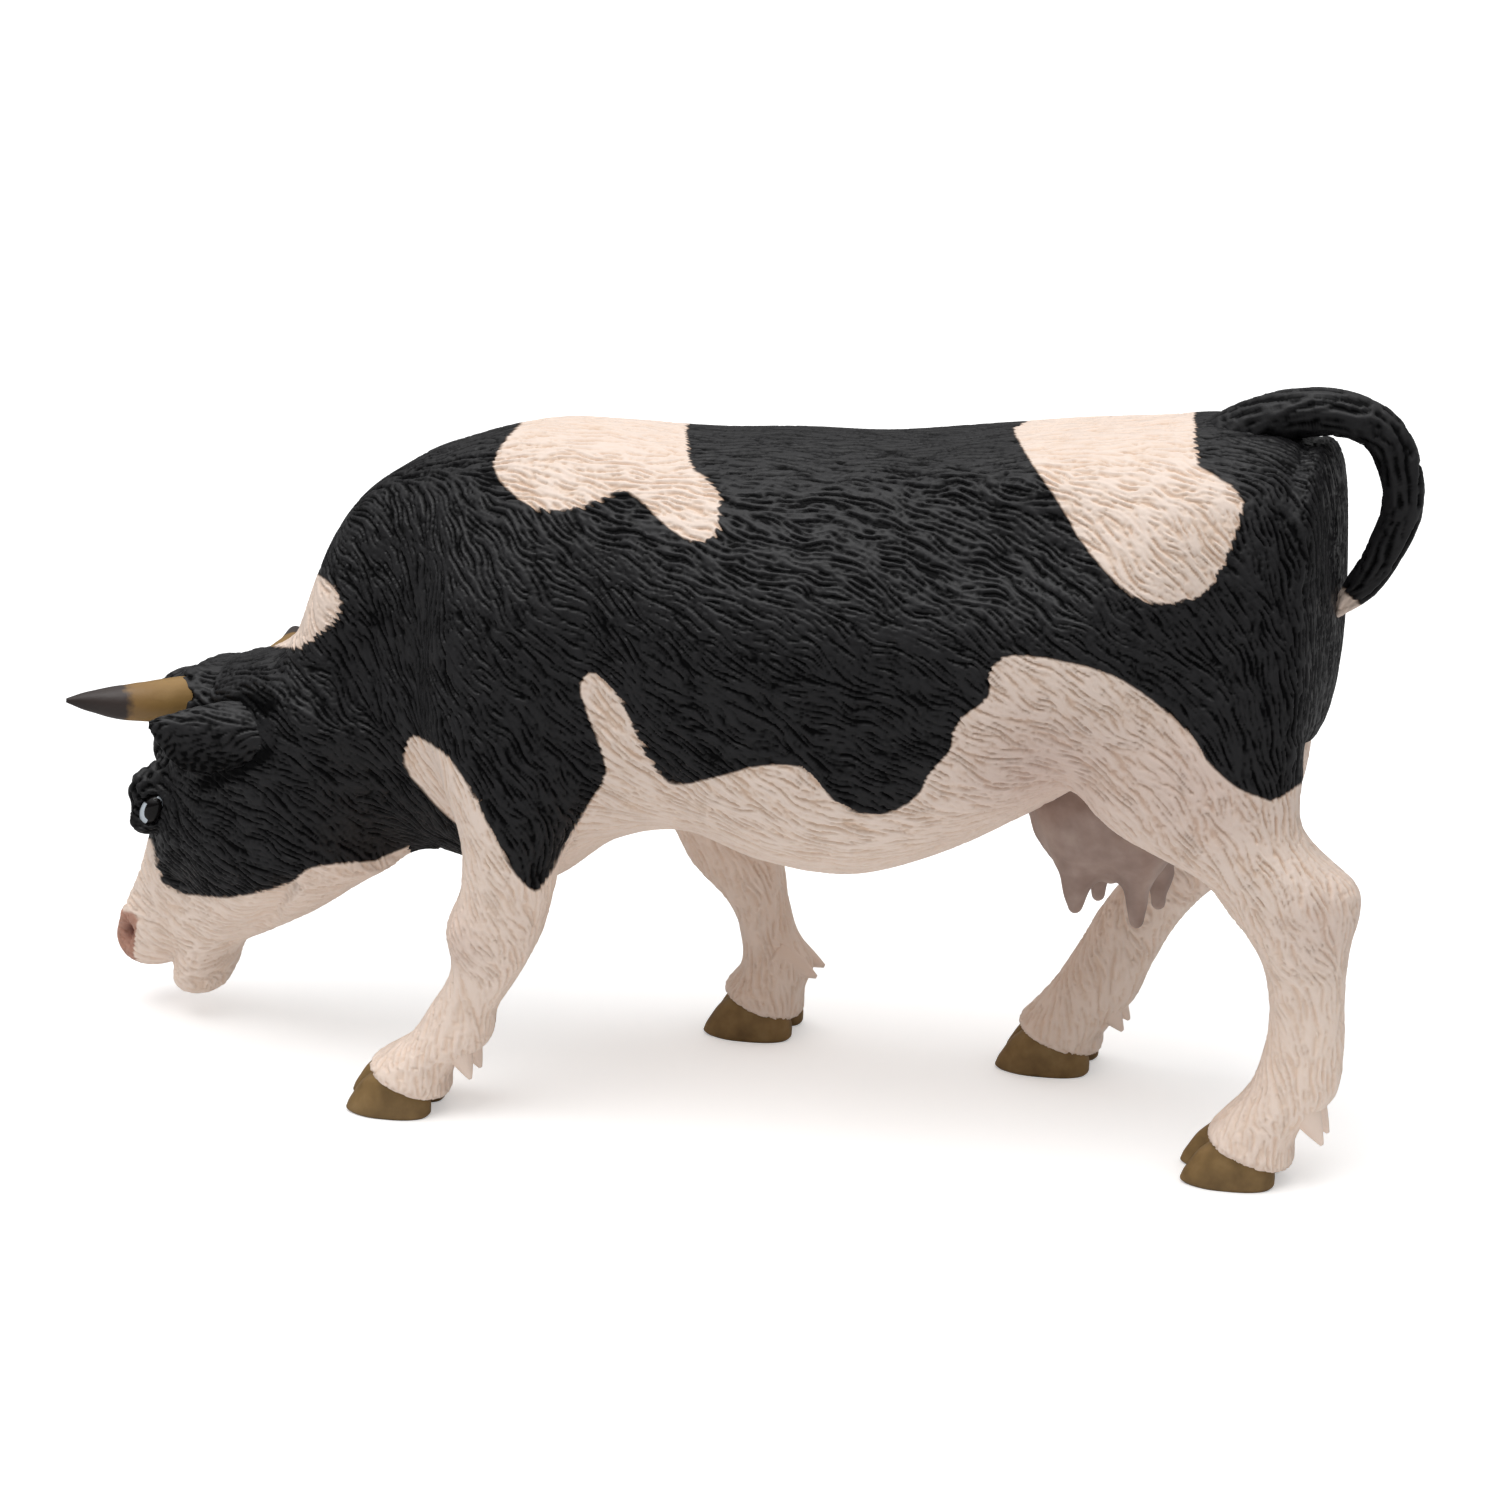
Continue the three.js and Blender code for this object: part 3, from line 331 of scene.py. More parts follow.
SKULL_POWER, JAW_POWER, JAW_MELT, LOFT_ROUND = 2.2, 2.0, 2.4, 1.4
EYE = np.array([13.9, 7.75, 4.1])
HEAD_BALLS = [    # centre (on both sides), radii, how widely it melts in
    ((2.7, 0, 8.3), (4.6, 6.0, 3.6), 2.0),           # tuft on the poll
    ((6.5, 0, 10.9), (3.6, 5.0, 3.8), 2.0),
    ((10.2, 0, 9.0), (4.2, 4.2, 3.0), 2.0),
    ((13.6, 5.6, 5.9), (3.4, 2.6, 2.6), 1.6),        # brow
    ((0.6, 5.0, 7.6), (3.2, 3.0, 3.1), 1.2),         # hair round the root of a horn
    ((13.4, 6.7, 6.4), (1.9, 1.9, 1.9), 1.0),        # rim of the eye socket, over the eye
    ((15.6, 7.35, 4.5), (1.65, 1.65, 1.65), 1.0)]    # and in front of it
LID_RADII, LID_RISE, LID_WIDTH, LID_OUT = (2.4, 1.55), 0.35, 0.24, (5.5, 7.0)
JAW_EDGE = ((23.5, -9.9), (6.7, -13.4))    # along and up, the two ends of the crease under the jaw bone
JAW_CREASE_DEPTH, JAW_CREASE_WIDTH, JAW_CREASE_OUT = 1.1, 1.0, (0.5, 2.5)
EAR_ROOT = np.array([-5.6, 7.7, -2.3])
EAR_LENGTH = 11.6
EAR_LONG = np.array([0.31, 0.70, 0.647])     # from the root to the tip, in the head's own frame
EAR_DOWN = np.array([0.60, 0.30, -0.74])     # across the leaf to its lower edge
EAR_LEAF = [    # share of the length, reach above the middle line, reach below it, thickness
    (-0.2, 1.6, 1.6, 1.6), (0.0, 2.7, 2.4, 1.7), (0.12, 3.2, 3.2, 1.6), (0.3, 3.1, 4.0, 1.4),
    (0.5, 2.5, 4.6, 1.25), (0.68, 1.75, 4.4, 1.1), (0.82, 1.1, 3.3, 0.95), (0.93, 0.6, 1.9, 0.75),
    (1.0, 0.15, 0.5, 0.4)]
# Along, out, up (both sides), spreads, height
HEAD_BUMPS = [
    ((13.6, 8.5, 4.3), (2.2, 1.8, 1.2), -0.7),     # eye socket
    ((9.0, 8.5, 3.0), (3.0, 2.5, 3.0), -0.5),      # temple
    ((16.5, 6.8, 0.5), (4.0, 2.5, 2.0), 0.5),      # cheek bone
    ((20, 6.4, -3.5), (5, 2.5, 2.5), -0.6),        # hollow over the jaw
    ((30.2, 4.6, 2.2), (1.6, 1.6, 1.2), 0.45),     # nostril wing
    ((31.6, 4.6, 0.7), (1.15, 1.5, 0.9), -1.5),    # nostril
    ((25, 5.8, -4.6), (4, 1.8, 1.2), 0.5),         # upper lip
    ((7, 6.5, -13), (6, 3, 4), 0.6)]               # angle of the jaw


def head_frame(x, y, z):
    """A point in the head's own frame: along the nose, out to the left, up from the forehead."""
    return [axis[0] * (x - HEAD_AT[0]) + axis[1] * (y - HEAD_AT[1]) + axis[2] * (z - HEAD_AT[2])
            for axis in HEAD_AXES]


def head_loft(rows, a, l, d, power):
    """Ovals along the nose, rounded off at both ends."""
    top, bottom, half = along(rows, a)
    middle = (top + bottom) / 2
    sides = oval_slice(l, d - middle, half, top - middle, middle - bottom, power)
    ends = np.abs(a - (rows[0][0] + rows[-1][0]) / 2) - (rows[-1][0] - rows[0][0]) / 2
    return trim(sides, ends, LOFT_ROUND)


def head_distance(x, y, z):
    """Skull and jaw melted together, with the face's small forms raised and sunk."""
    a, l, d = head_frame(x, y, z)
    head = melt(head_loft(SKULL, a, l, d, SKULL_POWER), head_loft(JAW, a, l, d, JAW_POWER), JAW_MELT)
    l = np.abs(l)
    for centre, radii, width in HEAD_BALLS:
        head = melt(head, ball(a, l, d, centre, radii), width)
    lid = np.sqrt(((a - EYE[0]) / LID_RADII[0]) ** 2 + ((d - EYE[2]) / LID_RADII[1]) ** 2)
    head = head - LID_RISE * np.exp(-((lid - 1) / LID_WIDTH) ** 2) * ramp(l, *LID_OUT)
    for centre, spread, height in HEAD_BUMPS:
        head = head - height * bump(a, l, d, centre, spread)
    (from_a, from_d), (to_a, to_d) = JAW_EDGE
    share = np.clip(((a - from_a) * (to_a - from_a) + (d - from_d) * (to_d - from_d))
                    / ((to_a - from_a) ** 2 + (to_d - from_d) ** 2), 0, 1)
    away = (a - from_a - share * (to_a - from_a)) ** 2 + (d - from_d - share * (to_d - from_d)) ** 2
    return head + JAW_CREASE_DEPTH * np.exp(-away / JAW_CREASE_WIDTH ** 2) * ramp(l, *JAW_CREASE_OUT)


HEAD_REACH = -33.0    # the head is only worked out in front of this
NECK_MELT = 7.0
NAPE_AT, NAPE_SPREAD, NAPE_DIP = (-53.0, 0.0, 46.0), (3.2, 9.0, 3.2), 1.7    # the dip behind the poll


def cow_distance(x, y, z):
    """The whole animal: the body, with the head melted on where it can be near. The three arrays are either
    lists of points or the open axes of a grid, whose y and z don't shorten with x."""
    whole = body_distance(x, y, z)
    front = np.ravel(x) < HEAD_REACH
    sides = y[front] if y.shape[0] == x.shape[0] else y
    heights = z[front] if z.shape[0] == x.shape[0] else z
    whole[front] = melt(whole[front], head_distance(x[front], sides, heights), NECK_MELT)
    whole[front] += NAPE_DIP * bump(x[front], sides, heights, NAPE_AT, NAPE_SPREAD)
    return whole


print("head axes:", np.round(HEAD_AXES, 3).tolist())

# %% [markdown]
# ## From distances to a skin
#
# A field has no faces, so a skin has to be drawn where it is zero. Surface nets do that on a grid: each
# cell that the skin passes through gets one point, at the mean of the crossings on its twelve edges, and
# each grid edge that the skin crosses gets one quad. It gives even quads, which split well: every quad is
# cut in four, and the points are then pulled exactly on to the zero of the field along its slope.

# %% Surface nets
GRID_PITCH = 0.41
GRID_LOW = np.array([-75.0, -25.0, 0.5])
GRID_HIGH = np.array([69.0, 25.0, 80.0])
SETTLE_STEP = 0.06         # mm over which a slope is measured
FLATTEST_SLOPE = 0.2       # the least that a slope's square may count
LONGEST_PULL = 0.4
CELL_CORNERS = np.array([(i, j, k) for i in (0, 1) for j in (0, 1) for k in (0, 1)])
CELL_EDGES = [(m, n) for m in range(8) for n in range(m + 1, 8)
              if np.abs(CELL_CORNERS[m] - CELL_CORNERS[n]).sum() == 1]


def net_points(value, low, pitch):
    """One point for each cell that the skin crosses, at the mean of its edge crossings."""
    inside = value < 0
    size = np.array(value.shape) - 1
    count = sum(inside[i:i + size[0], j:j + size[1], k:k + size[2]].astype(np.int8)
                for i, j, k in CELL_CORNERS)
    cells = np.argwhere((count > 0) & (count < 8))
    number = np.full(size, -1, np.int64)
    number[tuple(cells.T)] = np.arange(len(cells))
    corner = value[tuple((cells[:, None, :] + CELL_CORNERS).transpose(2, 0, 1))]
    total = np.zeros((len(cells), 3))
    hits = np.zeros(len(cells))
    for m, n in CELL_EDGES:
        crossed = (corner[:, m] < 0) != (corner[:, n] < 0)
        share = np.where(crossed, corner[:, m] / (corner[:, m] - corner[:, n] + 1e-12), 0)
        place = CELL_CORNERS[m] + share[:, None] * (CELL_CORNERS[n] - CELL_CORNERS[m])
        total += crossed[:, None] * place
        hits += crossed
    return low + pitch * (cells + total / hits[:, None]), number, inside


def net_quads(number, inside):
    """One quad round each grid edge that the skin crosses, turned so that it faces outwards."""
    quads = []
    for axis in range(3):
        u, v = np.eye(3, dtype=int)[(axis + 1) % 3], np.eye(3, dtype=int)[(axis + 2) % 3]
        lower = np.take(inside, np.arange(inside.shape[axis] - 1), axis)
        upper = np.take(inside, np.arange(1, inside.shape[axis]), axis)
        edge = np.argwhere(lower != upper)
        quad = np.stack([number[tuple((edge - shift).T)] for shift in (u + v, v, 0 * u, u)], axis=1)
        outward = lower[tuple(edge.T)]
        quads.append(np.where(outward[:, None], quad, quad[:, ::-1]))
    return np.concatenate(quads)


def split_quads(points, quads):
    """Each quad in four: the middles of its edges and its own middle become new points."""
    ends = np.sort(np.stack([quads, np.roll(quads, -1, axis=1)], axis=2), axis=2)
    pair, edge = np.unique(ends[..., 0] * len(points) + ends[..., 1], return_inverse=True)
    middles = (points[pair // len(points)] + points[pair % len(points)]) / 2
    edge = edge.reshape(-1, 4) + len(points)
    hub = np.arange(len(quads)) + len(points) + len(middles)
    fine = [np.stack([quads[:, i], edge[:, i], hub, edge[:, i - 1]], axis=1) for i in range(4)]
    new_points = np.concatenate([points, middles, points[quads].mean(axis=1)])
    return new_points, np.stack(fine, axis=1).reshape(-1, 4)


def settle(points, field, rounds):
    """Points pulled on to the skin: each goes back along the field's slope by its value over the slope's
    size squared; the slope is the field's rise over a short step along each axis."""
    points = points.astype(np.float32)
    for _ in range(rounds):
        x, y, z = points.T
        value = field(x, y, z)
        ahead = [field(x + SETTLE_STEP, y, z), field(x, y + SETTLE_STEP, z), field(x, y, z + SETTLE_STEP)]
        slope = (np.stack(ahead, axis=1) - value[:, None]) / SETTLE_STEP
        pull = value / np.maximum((slope ** 2).sum(axis=1), FLATTEST_SLOPE)
        points = points - np.clip(pull, -LONGEST_PULL, LONGEST_PULL)[:, None] * slope
    return points


def point_normals(points, quads):
    """The mean of the quads' normals round each point: a quad's normal is its diagonals' cross product."""
    a, b, c, d = points[quads].transpose(1, 0, 2)
    turn = np.repeat(np.cross(c - a, d - b), 4, axis=0)
    total = np.stack([np.bincount(quads.ravel(), column, len(points)) for column in turn.T], axis=1)
    return total / np.maximum(np.linalg.norm(total, axis=1, keepdims=True), 1e-12)


def skinned(field, low, high, pitch):
    """The field's skin in a box: nets, settled, split in four and settled again; also the first quads."""
    axes = [np.arange(start, end, pitch, dtype=np.float32) for start, end in zip(low, high)]
    points, number, inside = net_points(field(*np.ix_(*axes)), low, pitch)
    coarse = settle(points, field, 2), net_quads(number, inside)
    points, quads = split_quads(*coarse)
    return settle(points, field, 1), quads, *coarse


skin_points, skin_quads, coarse_points, coarse_quads = skinned(cow_distance, GRID_LOW, GRID_HIGH, GRID_PITCH)
skin_normals = point_normals(skin_points, skin_quads)
print("skin points:", len(skin_points), "quads:", len(skin_quads))

# %% [markdown]
# ## Hair strokes
#
# The sculptor cut the coat with short wavy strokes, about half a millimetre apart and two long, that follow
# the way a cow's hair lies. A bump texture can't follow that, and it would leave the outline smooth. Here
# each stroke is real relief: random noise tuned to one spacing is averaged along the hair's path, which
# smears it into streaks. Where a streak is high the skin rises to a rounded lock, and where it is low it
# sinks to a narrower groove. The tuft between the horns takes the noise as it is, which gives tight curls.

# %% Noise and the lie of the hair
NOISE_SIZE = 96
PLAIN_NOISE = SEED.uniform(-1, 1, (NOISE_SIZE,) * 3).astype(np.float32)
STROKE_PERIOD = 4.0    # cells of the lattice from one stroke to the next
TUNING = 0.2           # how far from the period a wave may be, as a share


def tuned(noise, period):
    """The noise with only its waves of about one period kept, by a bell curve over their frequencies."""
    axis = np.fft.fftfreq(NOISE_SIZE)
    waves = np.sqrt(axis[:, None, None] ** 2 + axis[None, :, None] ** 2 + axis[None, None, :] ** 2)
    kept = np.fft.fftn(noise) * np.exp(-((waves * period - 1) / TUNING) ** 2)
    kept = np.fft.ifftn(kept).real
    return (kept / kept.std()).astype(np.float32)


STROKE_NOISE = tuned(PLAIN_NOISE, STROKE_PERIOD)


def grain(points, cell, noise=PLAIN_NOISE):
    """Smooth noise: the values of a lattice of cells, eased between the eight corners round a point."""
    scaled = (points / np.float32(cell)).astype(np.float32)
    base = np.floor(scaled).astype(np.int32)
    t = scaled - base
    t = t * t * (3 - 2 * t)
    low, high = base % NOISE_SIZE, (base + 1) % NOISE_SIZE
    total = np.zeros(len(points), np.float32)
    for corner in CELL_CORNERS:
        x, y, z = np.where(corner, high, low).T
        weight = np.prod(np.where(corner, t, 1 - t), axis=1)
        total += weight * noise[x, y, z]
    return total


HAIR_FALL = [    # x, degrees by which the hair on the side falls as it runs back
    (-75, 20), (-52, 22), (-44, 38), (-34, 52), (-22, 46), (-8, 32), (14, 26), (34, 28), (46, 42),
    (55, 66), (61, 84)]
LEVELLED, LEVEL_SPAN = 0.75, (0.45, 0.95)    # share of that fall lost where the skin faces up or down
LIMB_FALL, LIMB_SPAN, LIMB_HEIGHTS = 62, (-2.0, 3.0), (48, 30)    # degrees on a limb, and where it sets in
FOOT_FALL, FOOT_HEIGHTS = 22, (22, 8)        # degrees added towards its foot


def hair_way(points, normals):
    """Back along the body, falling as the table says, level on the back and belly; down on the limbs."""
    x, y, z = points.T
    fall, = along(HAIR_FALL, x)
    fall = np.radians(fall) * (1 - LEVELLED * ramp(np.abs(normals[:, 2]), *LEVEL_SPAN))
    limb = np.min([limb_distance(name, x, y, z) for name in LIMBS], axis=0)
    on_limb = ramp(trunk_distance(x, y, z) - limb, *LIMB_SPAN) * ramp(z, *LIMB_HEIGHTS)
    limb_fall = np.radians(LIMB_FALL + FOOT_FALL * ramp(z, *FOOT_HEIGHTS))
    fall = fall + on_limb * (limb_fall - fall)
    way = np.stack([np.cos(fall), 0 * fall, -np.sin(fall)], axis=1)
    way = way - (way * normals).sum(axis=1, keepdims=True) * normals
    return way / np.maximum(np.linalg.norm(way, axis=1, keepdims=True), 1e-6)


# %% Strokes as relief
STROKE_SPACING = 0.54                        # mm from one stroke to the next
STROKE_STEP, STROKE_STEPS = 0.21, 5          # mm between places on a path, and places each way
STROKE_WAVE, STROKE_WAVE_CELL = 0.55, 2.0    # how far a path bends, in radians, and over how many mm
WAVE_ELSEWHERE = 37.0                        # takes the bends from another part of the noise
LOCK_HEIGHT, LOCK_SPAN = 0.35, (-0.5, 1.4)   # share of the relief's depth, and the streaks it goes over
GROOVE_DEPTH, GROOVE_SPAN = 0.85, (0.0, 1.5)
# Heights, places along the nose and out to the side over which the curls of the poll set in
POLL_UP, POLL_BACK, POLL_FRONT, POLL_OUT = (4.6, 6.6), (-4.0, 0.0), (16.5, 14.0), (11.0, 9.0)


def hair_strokes(points, normals, way, spacing=STROKE_SPACING, step=STROKE_STEP, wave=STROKE_WAVE):
    """Noise of one spacing, averaged along a wavy path each way, in units of its own spread."""
    side = np.cross(normals, way)
    cell = spacing / STROKE_PERIOD
    total = grain(points, cell, STROKE_NOISE)
    for direction in (step, -step):
        place = points
        for _ in range(STROKE_STEPS):
            bend = (wave * grain(place + WAVE_ELSEWHERE, STROKE_WAVE_CELL))[:, None]
            place = place + direction * (way * np.cos(bend) + side * np.sin(bend))
            total = total + grain(place, cell, STROKE_NOISE)
    return total / total.std()


def stroke_height(streak):
    """A rounded lock where the streak is high, and a deeper, narrower groove where it is low."""
    return LOCK_HEIGHT * ramp(streak, *LOCK_SPAN) - GROOVE_DEPTH * ramp(-streak, *GROOVE_SPAN)


def curly_poll(points):
    """One on the tuft between the horns and on the brows, where the hair is short tight curls."""
    a, l, d = head_frame(*points.T)
    return ramp(d, *POLL_UP) * ramp(a, *POLL_FRONT) * ramp(a, *POLL_BACK) * ramp(np.abs(l), *POLL_OUT)


CURL_SIZE, CURL_GAIN, CURL_RISE = 1.15, 1.3, 0.6    # mm across, strength of the noise, extra relief
STROKE_DEPTH = 0.24                                 # mm
skin_way = hair_way(skin_points, skin_normals)
skin_streak = hair_strokes(skin_points, skin_normals, skin_way)
curl_share = curly_poll(skin_points)
curls = CURL_GAIN * grain(skin_points, CURL_SIZE / STROKE_PERIOD, STROKE_NOISE)
skin_streak = skin_streak + curl_share * (curls - skin_streak)
skin_relief = stroke_height(skin_streak) * (1 + CURL_RISE * curl_share)
skin_flat = skin_points
skin_points = skin_points + (STROKE_DEPTH * skin_relief)[:, None] * skin_normals
skin_normals = point_normals(skin_points, skin_quads)
print("relief from", round(float(skin_relief.min()), 2), "to", round(float(skin_relief.max()), 2))

# %% [markdown]
# ## The painted patches
#
# The black and cream are laid on with a brush and have crisp edges that catch on the strokes. Each patch is
# an outline in the photograph's own pixels, seen through the camera above. A point's signed distance to the
# outlines, in millimetres, goes into the mesh as an attribute, and the material turns it into an edge. The
# side that the photograph doesn't show gets the same patches mirrored and pushed about, as a real coat has.

# %% Patch outlines, in pixels of the photograph
WITHERS_PATCH = [(520, 330), (527, 418), (505, 440), (492, 462), (500, 482), (530, 508), (563, 511),
                 (593, 503), (622, 488), (640, 499), (666, 526), (686, 540), (709, 541), (720, 526),
                 (720, 496), (709, 480), (692, 468), (687, 446), (686, 330)]
RUMP_PATCH = [(1010, 330), (1013, 429), (1029, 459), (1057, 499), (1083, 545), (1115, 582), (1138, 600),
              (1166, 605), (1198, 598), (1212, 585), (1227, 557), (1238, 522), (1245, 505), (1235, 488),
              (1215, 476), (1198, 465), (1195, 436), (1195, 330)]
NAPE_PATCH = [(290, 560), (268, 646), (300, 648), (314, 637), (335, 622), (341, 600), (330, 582), (300, 565)]
UNDERSIDE = [(411, 735), (402, 757), (413, 781), (441, 803), (464, 816), (468, 852), (430, 905),
             (300, 1010), (300, 1320), (1460, 1320), (1460, 790), (1306, 780), (1275, 802), (1256, 797),
             (1233, 786), (1210, 765), (1195, 739), (1172, 718), (1149, 697), (1118, 677), (1084, 666),
             (1046, 658), (1007, 655), (990, 669), (989, 700), (964, 715), (953, 732), (951, 751),
             (934, 768), (916, 799), (888, 815), (855, 814), (832, 798), (812, 775), (798, 765),
             (755, 766), (719, 777), (679, 786), (664, 780), (646, 755), (629, 715), (613, 688),
             (591, 670), (578, 685), (589, 718), (603, 752), (607, 777), (591, 801), (563, 848),
             (551, 873), (538, 893), (526, 887), (508, 864), (496, 840), (480, 809), (466, 781),
             (449, 757), (425, 740)]
FACE_BLAZE = [(151, 837), (155, 850), (158, 873), (165, 885), (178, 894), (211, 897), (234, 898),
              (277, 888), (293, 882), (308, 868), (337, 864), (389, 860), (420, 905), (300, 1040),
              (40, 1040), (40, 850), (110, 838)]
FAR_SHIFT = np.array([5.0, 0.0, -2.5])    # mm by which the far side's patches are moved
FAR_SWAY, SWAY_CELL, SWAY_ELSEWHERE = 3.0, 9.0, (11.0, 71.0)    # and mm by which they are pushed about
FAR_FADE = 9.0       # mm over which that sets in
SEEN_ACROSS = 4.0    # the photograph sees this far over the ridge of the back
RAGGED, RAGGED_MOST = 0.14, 1.6    # mm along the hair for each unit of the streak, and the most units
FACE_REACH = -36.0    # the face's outline only counts in front of this
CORNER_CUT = 0.2
FORELEG_FRONT = ((-34, -23), (-24, -11), (18, 36))    # cream all round the front of the near foreleg


def softened(outline):
    """The outline with its corners cut, a fifth of the way along each side."""
    outline = np.array(outline, float)
    ahead = np.roll(outline, -1, axis=0)
    cut = [(1 - share) * outline + share * ahead for share in (CORNER_CUT, 1 - CORNER_CUT)]
    return np.stack(cut, axis=1).reshape(-1, 2)


def inside_outline(pixels, outline):
    """Signed distance to a closed outline in pixels: positive inside, by counting sides crossed."""
    nearest = np.full(len(pixels), 1e9)
    crossed = np.zeros(len(pixels), bool)
    outline = softened(outline)
    for start, end in zip(outline, np.roll(outline, -1, axis=0)):
        side = end - start
        away = pixels - start
        share = np.clip(away @ side / (side @ side), 0, 1)
        nearest = np.minimum(nearest, ((away - share[:, None] * side) ** 2).sum(axis=1))
        spans = (start[1] > pixels[:, 1]) != (end[1] > pixels[:, 1])
        crossed ^= spans & (away[:, 0] < away[:, 1] * side[0] / (side[1] if side[1] else 1e-9))
    return np.where(crossed, 1, -1) * np.sqrt(nearest)


# %% The coat's black, as a distance
def coat_black(points):
    """How far inside the black paint a point is, in mm: outside every cream outline of its own side."""
    far = ramp(points[:, 1], SEEN_ACROSS, SEEN_ACROSS + FAR_FADE)[:, None]
    along_x, up = [grain(points + shift, SWAY_CELL) for shift in SWAY_ELSEWHERE]
    sway = np.stack([along_x, 0 * up, up], axis=1)
    mirrored = points.copy()
    mirrored[:, 1] = SEEN_ACROSS - np.abs(points[:, 1] - SEEN_ACROSS)
    mirrored = mirrored + far * (FAR_SHIFT + FAR_SWAY * sway)
    pixels = photo_pixels(mirrored)
    patches = (WITHERS_PATCH, RUMP_PATCH, NAPE_PATCH, UNDERSIDE)
    cream = np.max([inside_outline(pixels, patch) for patch in patches], axis=0)
    front = points[:, 0] < FACE_REACH
    a, l, d = head_frame(*points[front].T)
    facing = HEAD_AT + np.stack([a, np.abs(l), d], axis=1) @ HEAD_AXES
    cream[front] = np.maximum(cream[front], inside_outline(photo_pixels(facing), FACE_BLAZE))
    low, high = np.array(FORELEG_FRONT).T
    in_front = np.minimum(points - low, high - points).min(axis=1)
    return -np.maximum(cream / PIXELS_PER_MM, in_front)


ragged = RAGGED * np.clip(skin_streak, -RAGGED_MOST, RAGGED_MOST)
skin_black = coat_black(skin_flat + ragged[:, None] * skin_way)
print("black share of the coat:", round(float((skin_black > 0).mean()), 2))

# %% [markdown]
# ## The paints
#
# One material paints the whole coat. It reads five attributes of the mesh: the distance inside the black,
# the height of the stroke, lowered round the ears as painted shadow, how much brown wash lies there, how
# pink the spot is, which on the flank and thighs is painted shade as well, and where the bare nose is. The
# edge of a patch shifts with the stroke's height, so it comes out serrated as it does under a brush, with a
# thin brown fringe where the two paints overlap. The wash stays in the cream's grooves. The black carries
# painted shade
# and light: it is darker and shines less in its grooves, and lighter and shinier on its locks. Hoof, horn,
# eye and udder paints are plainer: noise, or noise added to one attribute, picks the colour.


# %% Material helpers
def new_paint(name, roughness, specular):
    """A material with one Principled shader; returns the material, its node tree and the shader."""
    paint = bpy.data.materials.new(name)
    paint.use_nodes = True
    shader = paint.node_tree.nodes["Principled BSDF"]
    shader.inputs["Roughness"].default_value = roughness
    shader.inputs["Specular IOR Level"].default_value = specular
    return paint, paint.node_tree, shader


def wire(tree, node, inputs):
    """Each input named is linked if its value is another node's output, and set to the value if it isn't."""
    for key, value in inputs.items():
        if isinstance(value, bpy.types.NodeSocket):
            tree.links.new(value, node.inputs[key])
        else:
            node.inputs[key].default_value = value


def read_attribute(tree, name):
    reader = tree.nodes.new("ShaderNodeAttribute")
    reader.attribute_name = name
    return reader.outputs["Fac"]


def object_noise(tree, scale, detail=3.0):
    """Noise on object coordinates: the scale counts features in a metre."""
    noise = tree.nodes.new("ShaderNodeTexNoise")
    place = tree.nodes.new("ShaderNodeTexCoord").outputs["Object"]
    wire(tree, noise, {"Vector": place, "Scale": scale, "Detail": detail})
    return noise.outputs["Fac"]


def add_up(tree, first, second, share):
    """The first value plus a share of the second."""
    adder = tree.nodes.new("ShaderNodeMath")
    adder.operation = "MULTIPLY_ADD"
    wire(tree, adder, {0: second, 1: share, 2: first})
    return adder.outputs[0]


def grey(value):
    return (value,) * 3


def colour_steps(tree, value, low, high, steps):
    """A value between low and high turned into a colour by stops at shares of that range."""
    fit = tree.nodes.new("ShaderNodeMapRange")
    wire(tree, fit, {"Value": value, "From Min": low, "From Max": high})
    ramp_node = tree.nodes.new("ShaderNodeValToRGB")
    stops = ramp_node.color_ramp.elements
    while len(stops) < len(steps):
        stops.new(0.5)
    for stop, (share, colour) in zip(stops, steps):
        stop.position = share
        stop.color = (*colour, 1)
    wire(tree, ramp_node, {"Fac": fit.outputs["Result"]})
    return ramp_node.outputs["Color"]


def mix_colours(tree, share, first, second):
    """The first colour where the share is zero and the second where it is one; either may be a constant."""
    mixer = tree.nodes.new("ShaderNodeMix")
    mixer.data_type = "RGBA"
    first, second = [(*colour, 1) if isinstance(colour, tuple) else colour for colour in (first, second)]
    wire(tree, mixer, {"Factor": share, 6: first, 7: second})
    return mixer.outputs[2]


def raise_bump(tree, shader, scale, detail, strength, depth):
    """Fine relief below the size of the mesh, from noise: the depth is in metres where the noise is one."""
    relief = tree.nodes.new("ShaderNodeBump")
    height = object_noise(tree, scale, detail)
    wire(tree, relief, {"Height": height, "Strength": strength, "Distance": depth})
    wire(tree, shader, {"Normal": relief.outputs["Normal"]})


def plain_paint(name, finish, blotch, span, steps, relief=None, attribute=None, share=1.0):
    """A paint coloured by noise or, where an attribute is named, by it plus a share of the noise. The finish
    is roughness and shine, the blotch the noise's scale and detail, the span where the steps start and end,
    and the relief what raise_bump takes."""
    paint, tree, shader = new_paint(name, *finish)
    value = object_noise(tree, *blotch)
    if attribute:
        value = add_up(tree, read_attribute(tree, attribute), value, share)
    wire(tree, shader, {"Base Color": colour_steps(tree, value, *span, steps)})
    if relief:
        raise_bump(tree, shader, *relief)
    return paint


print("paint helpers ready")

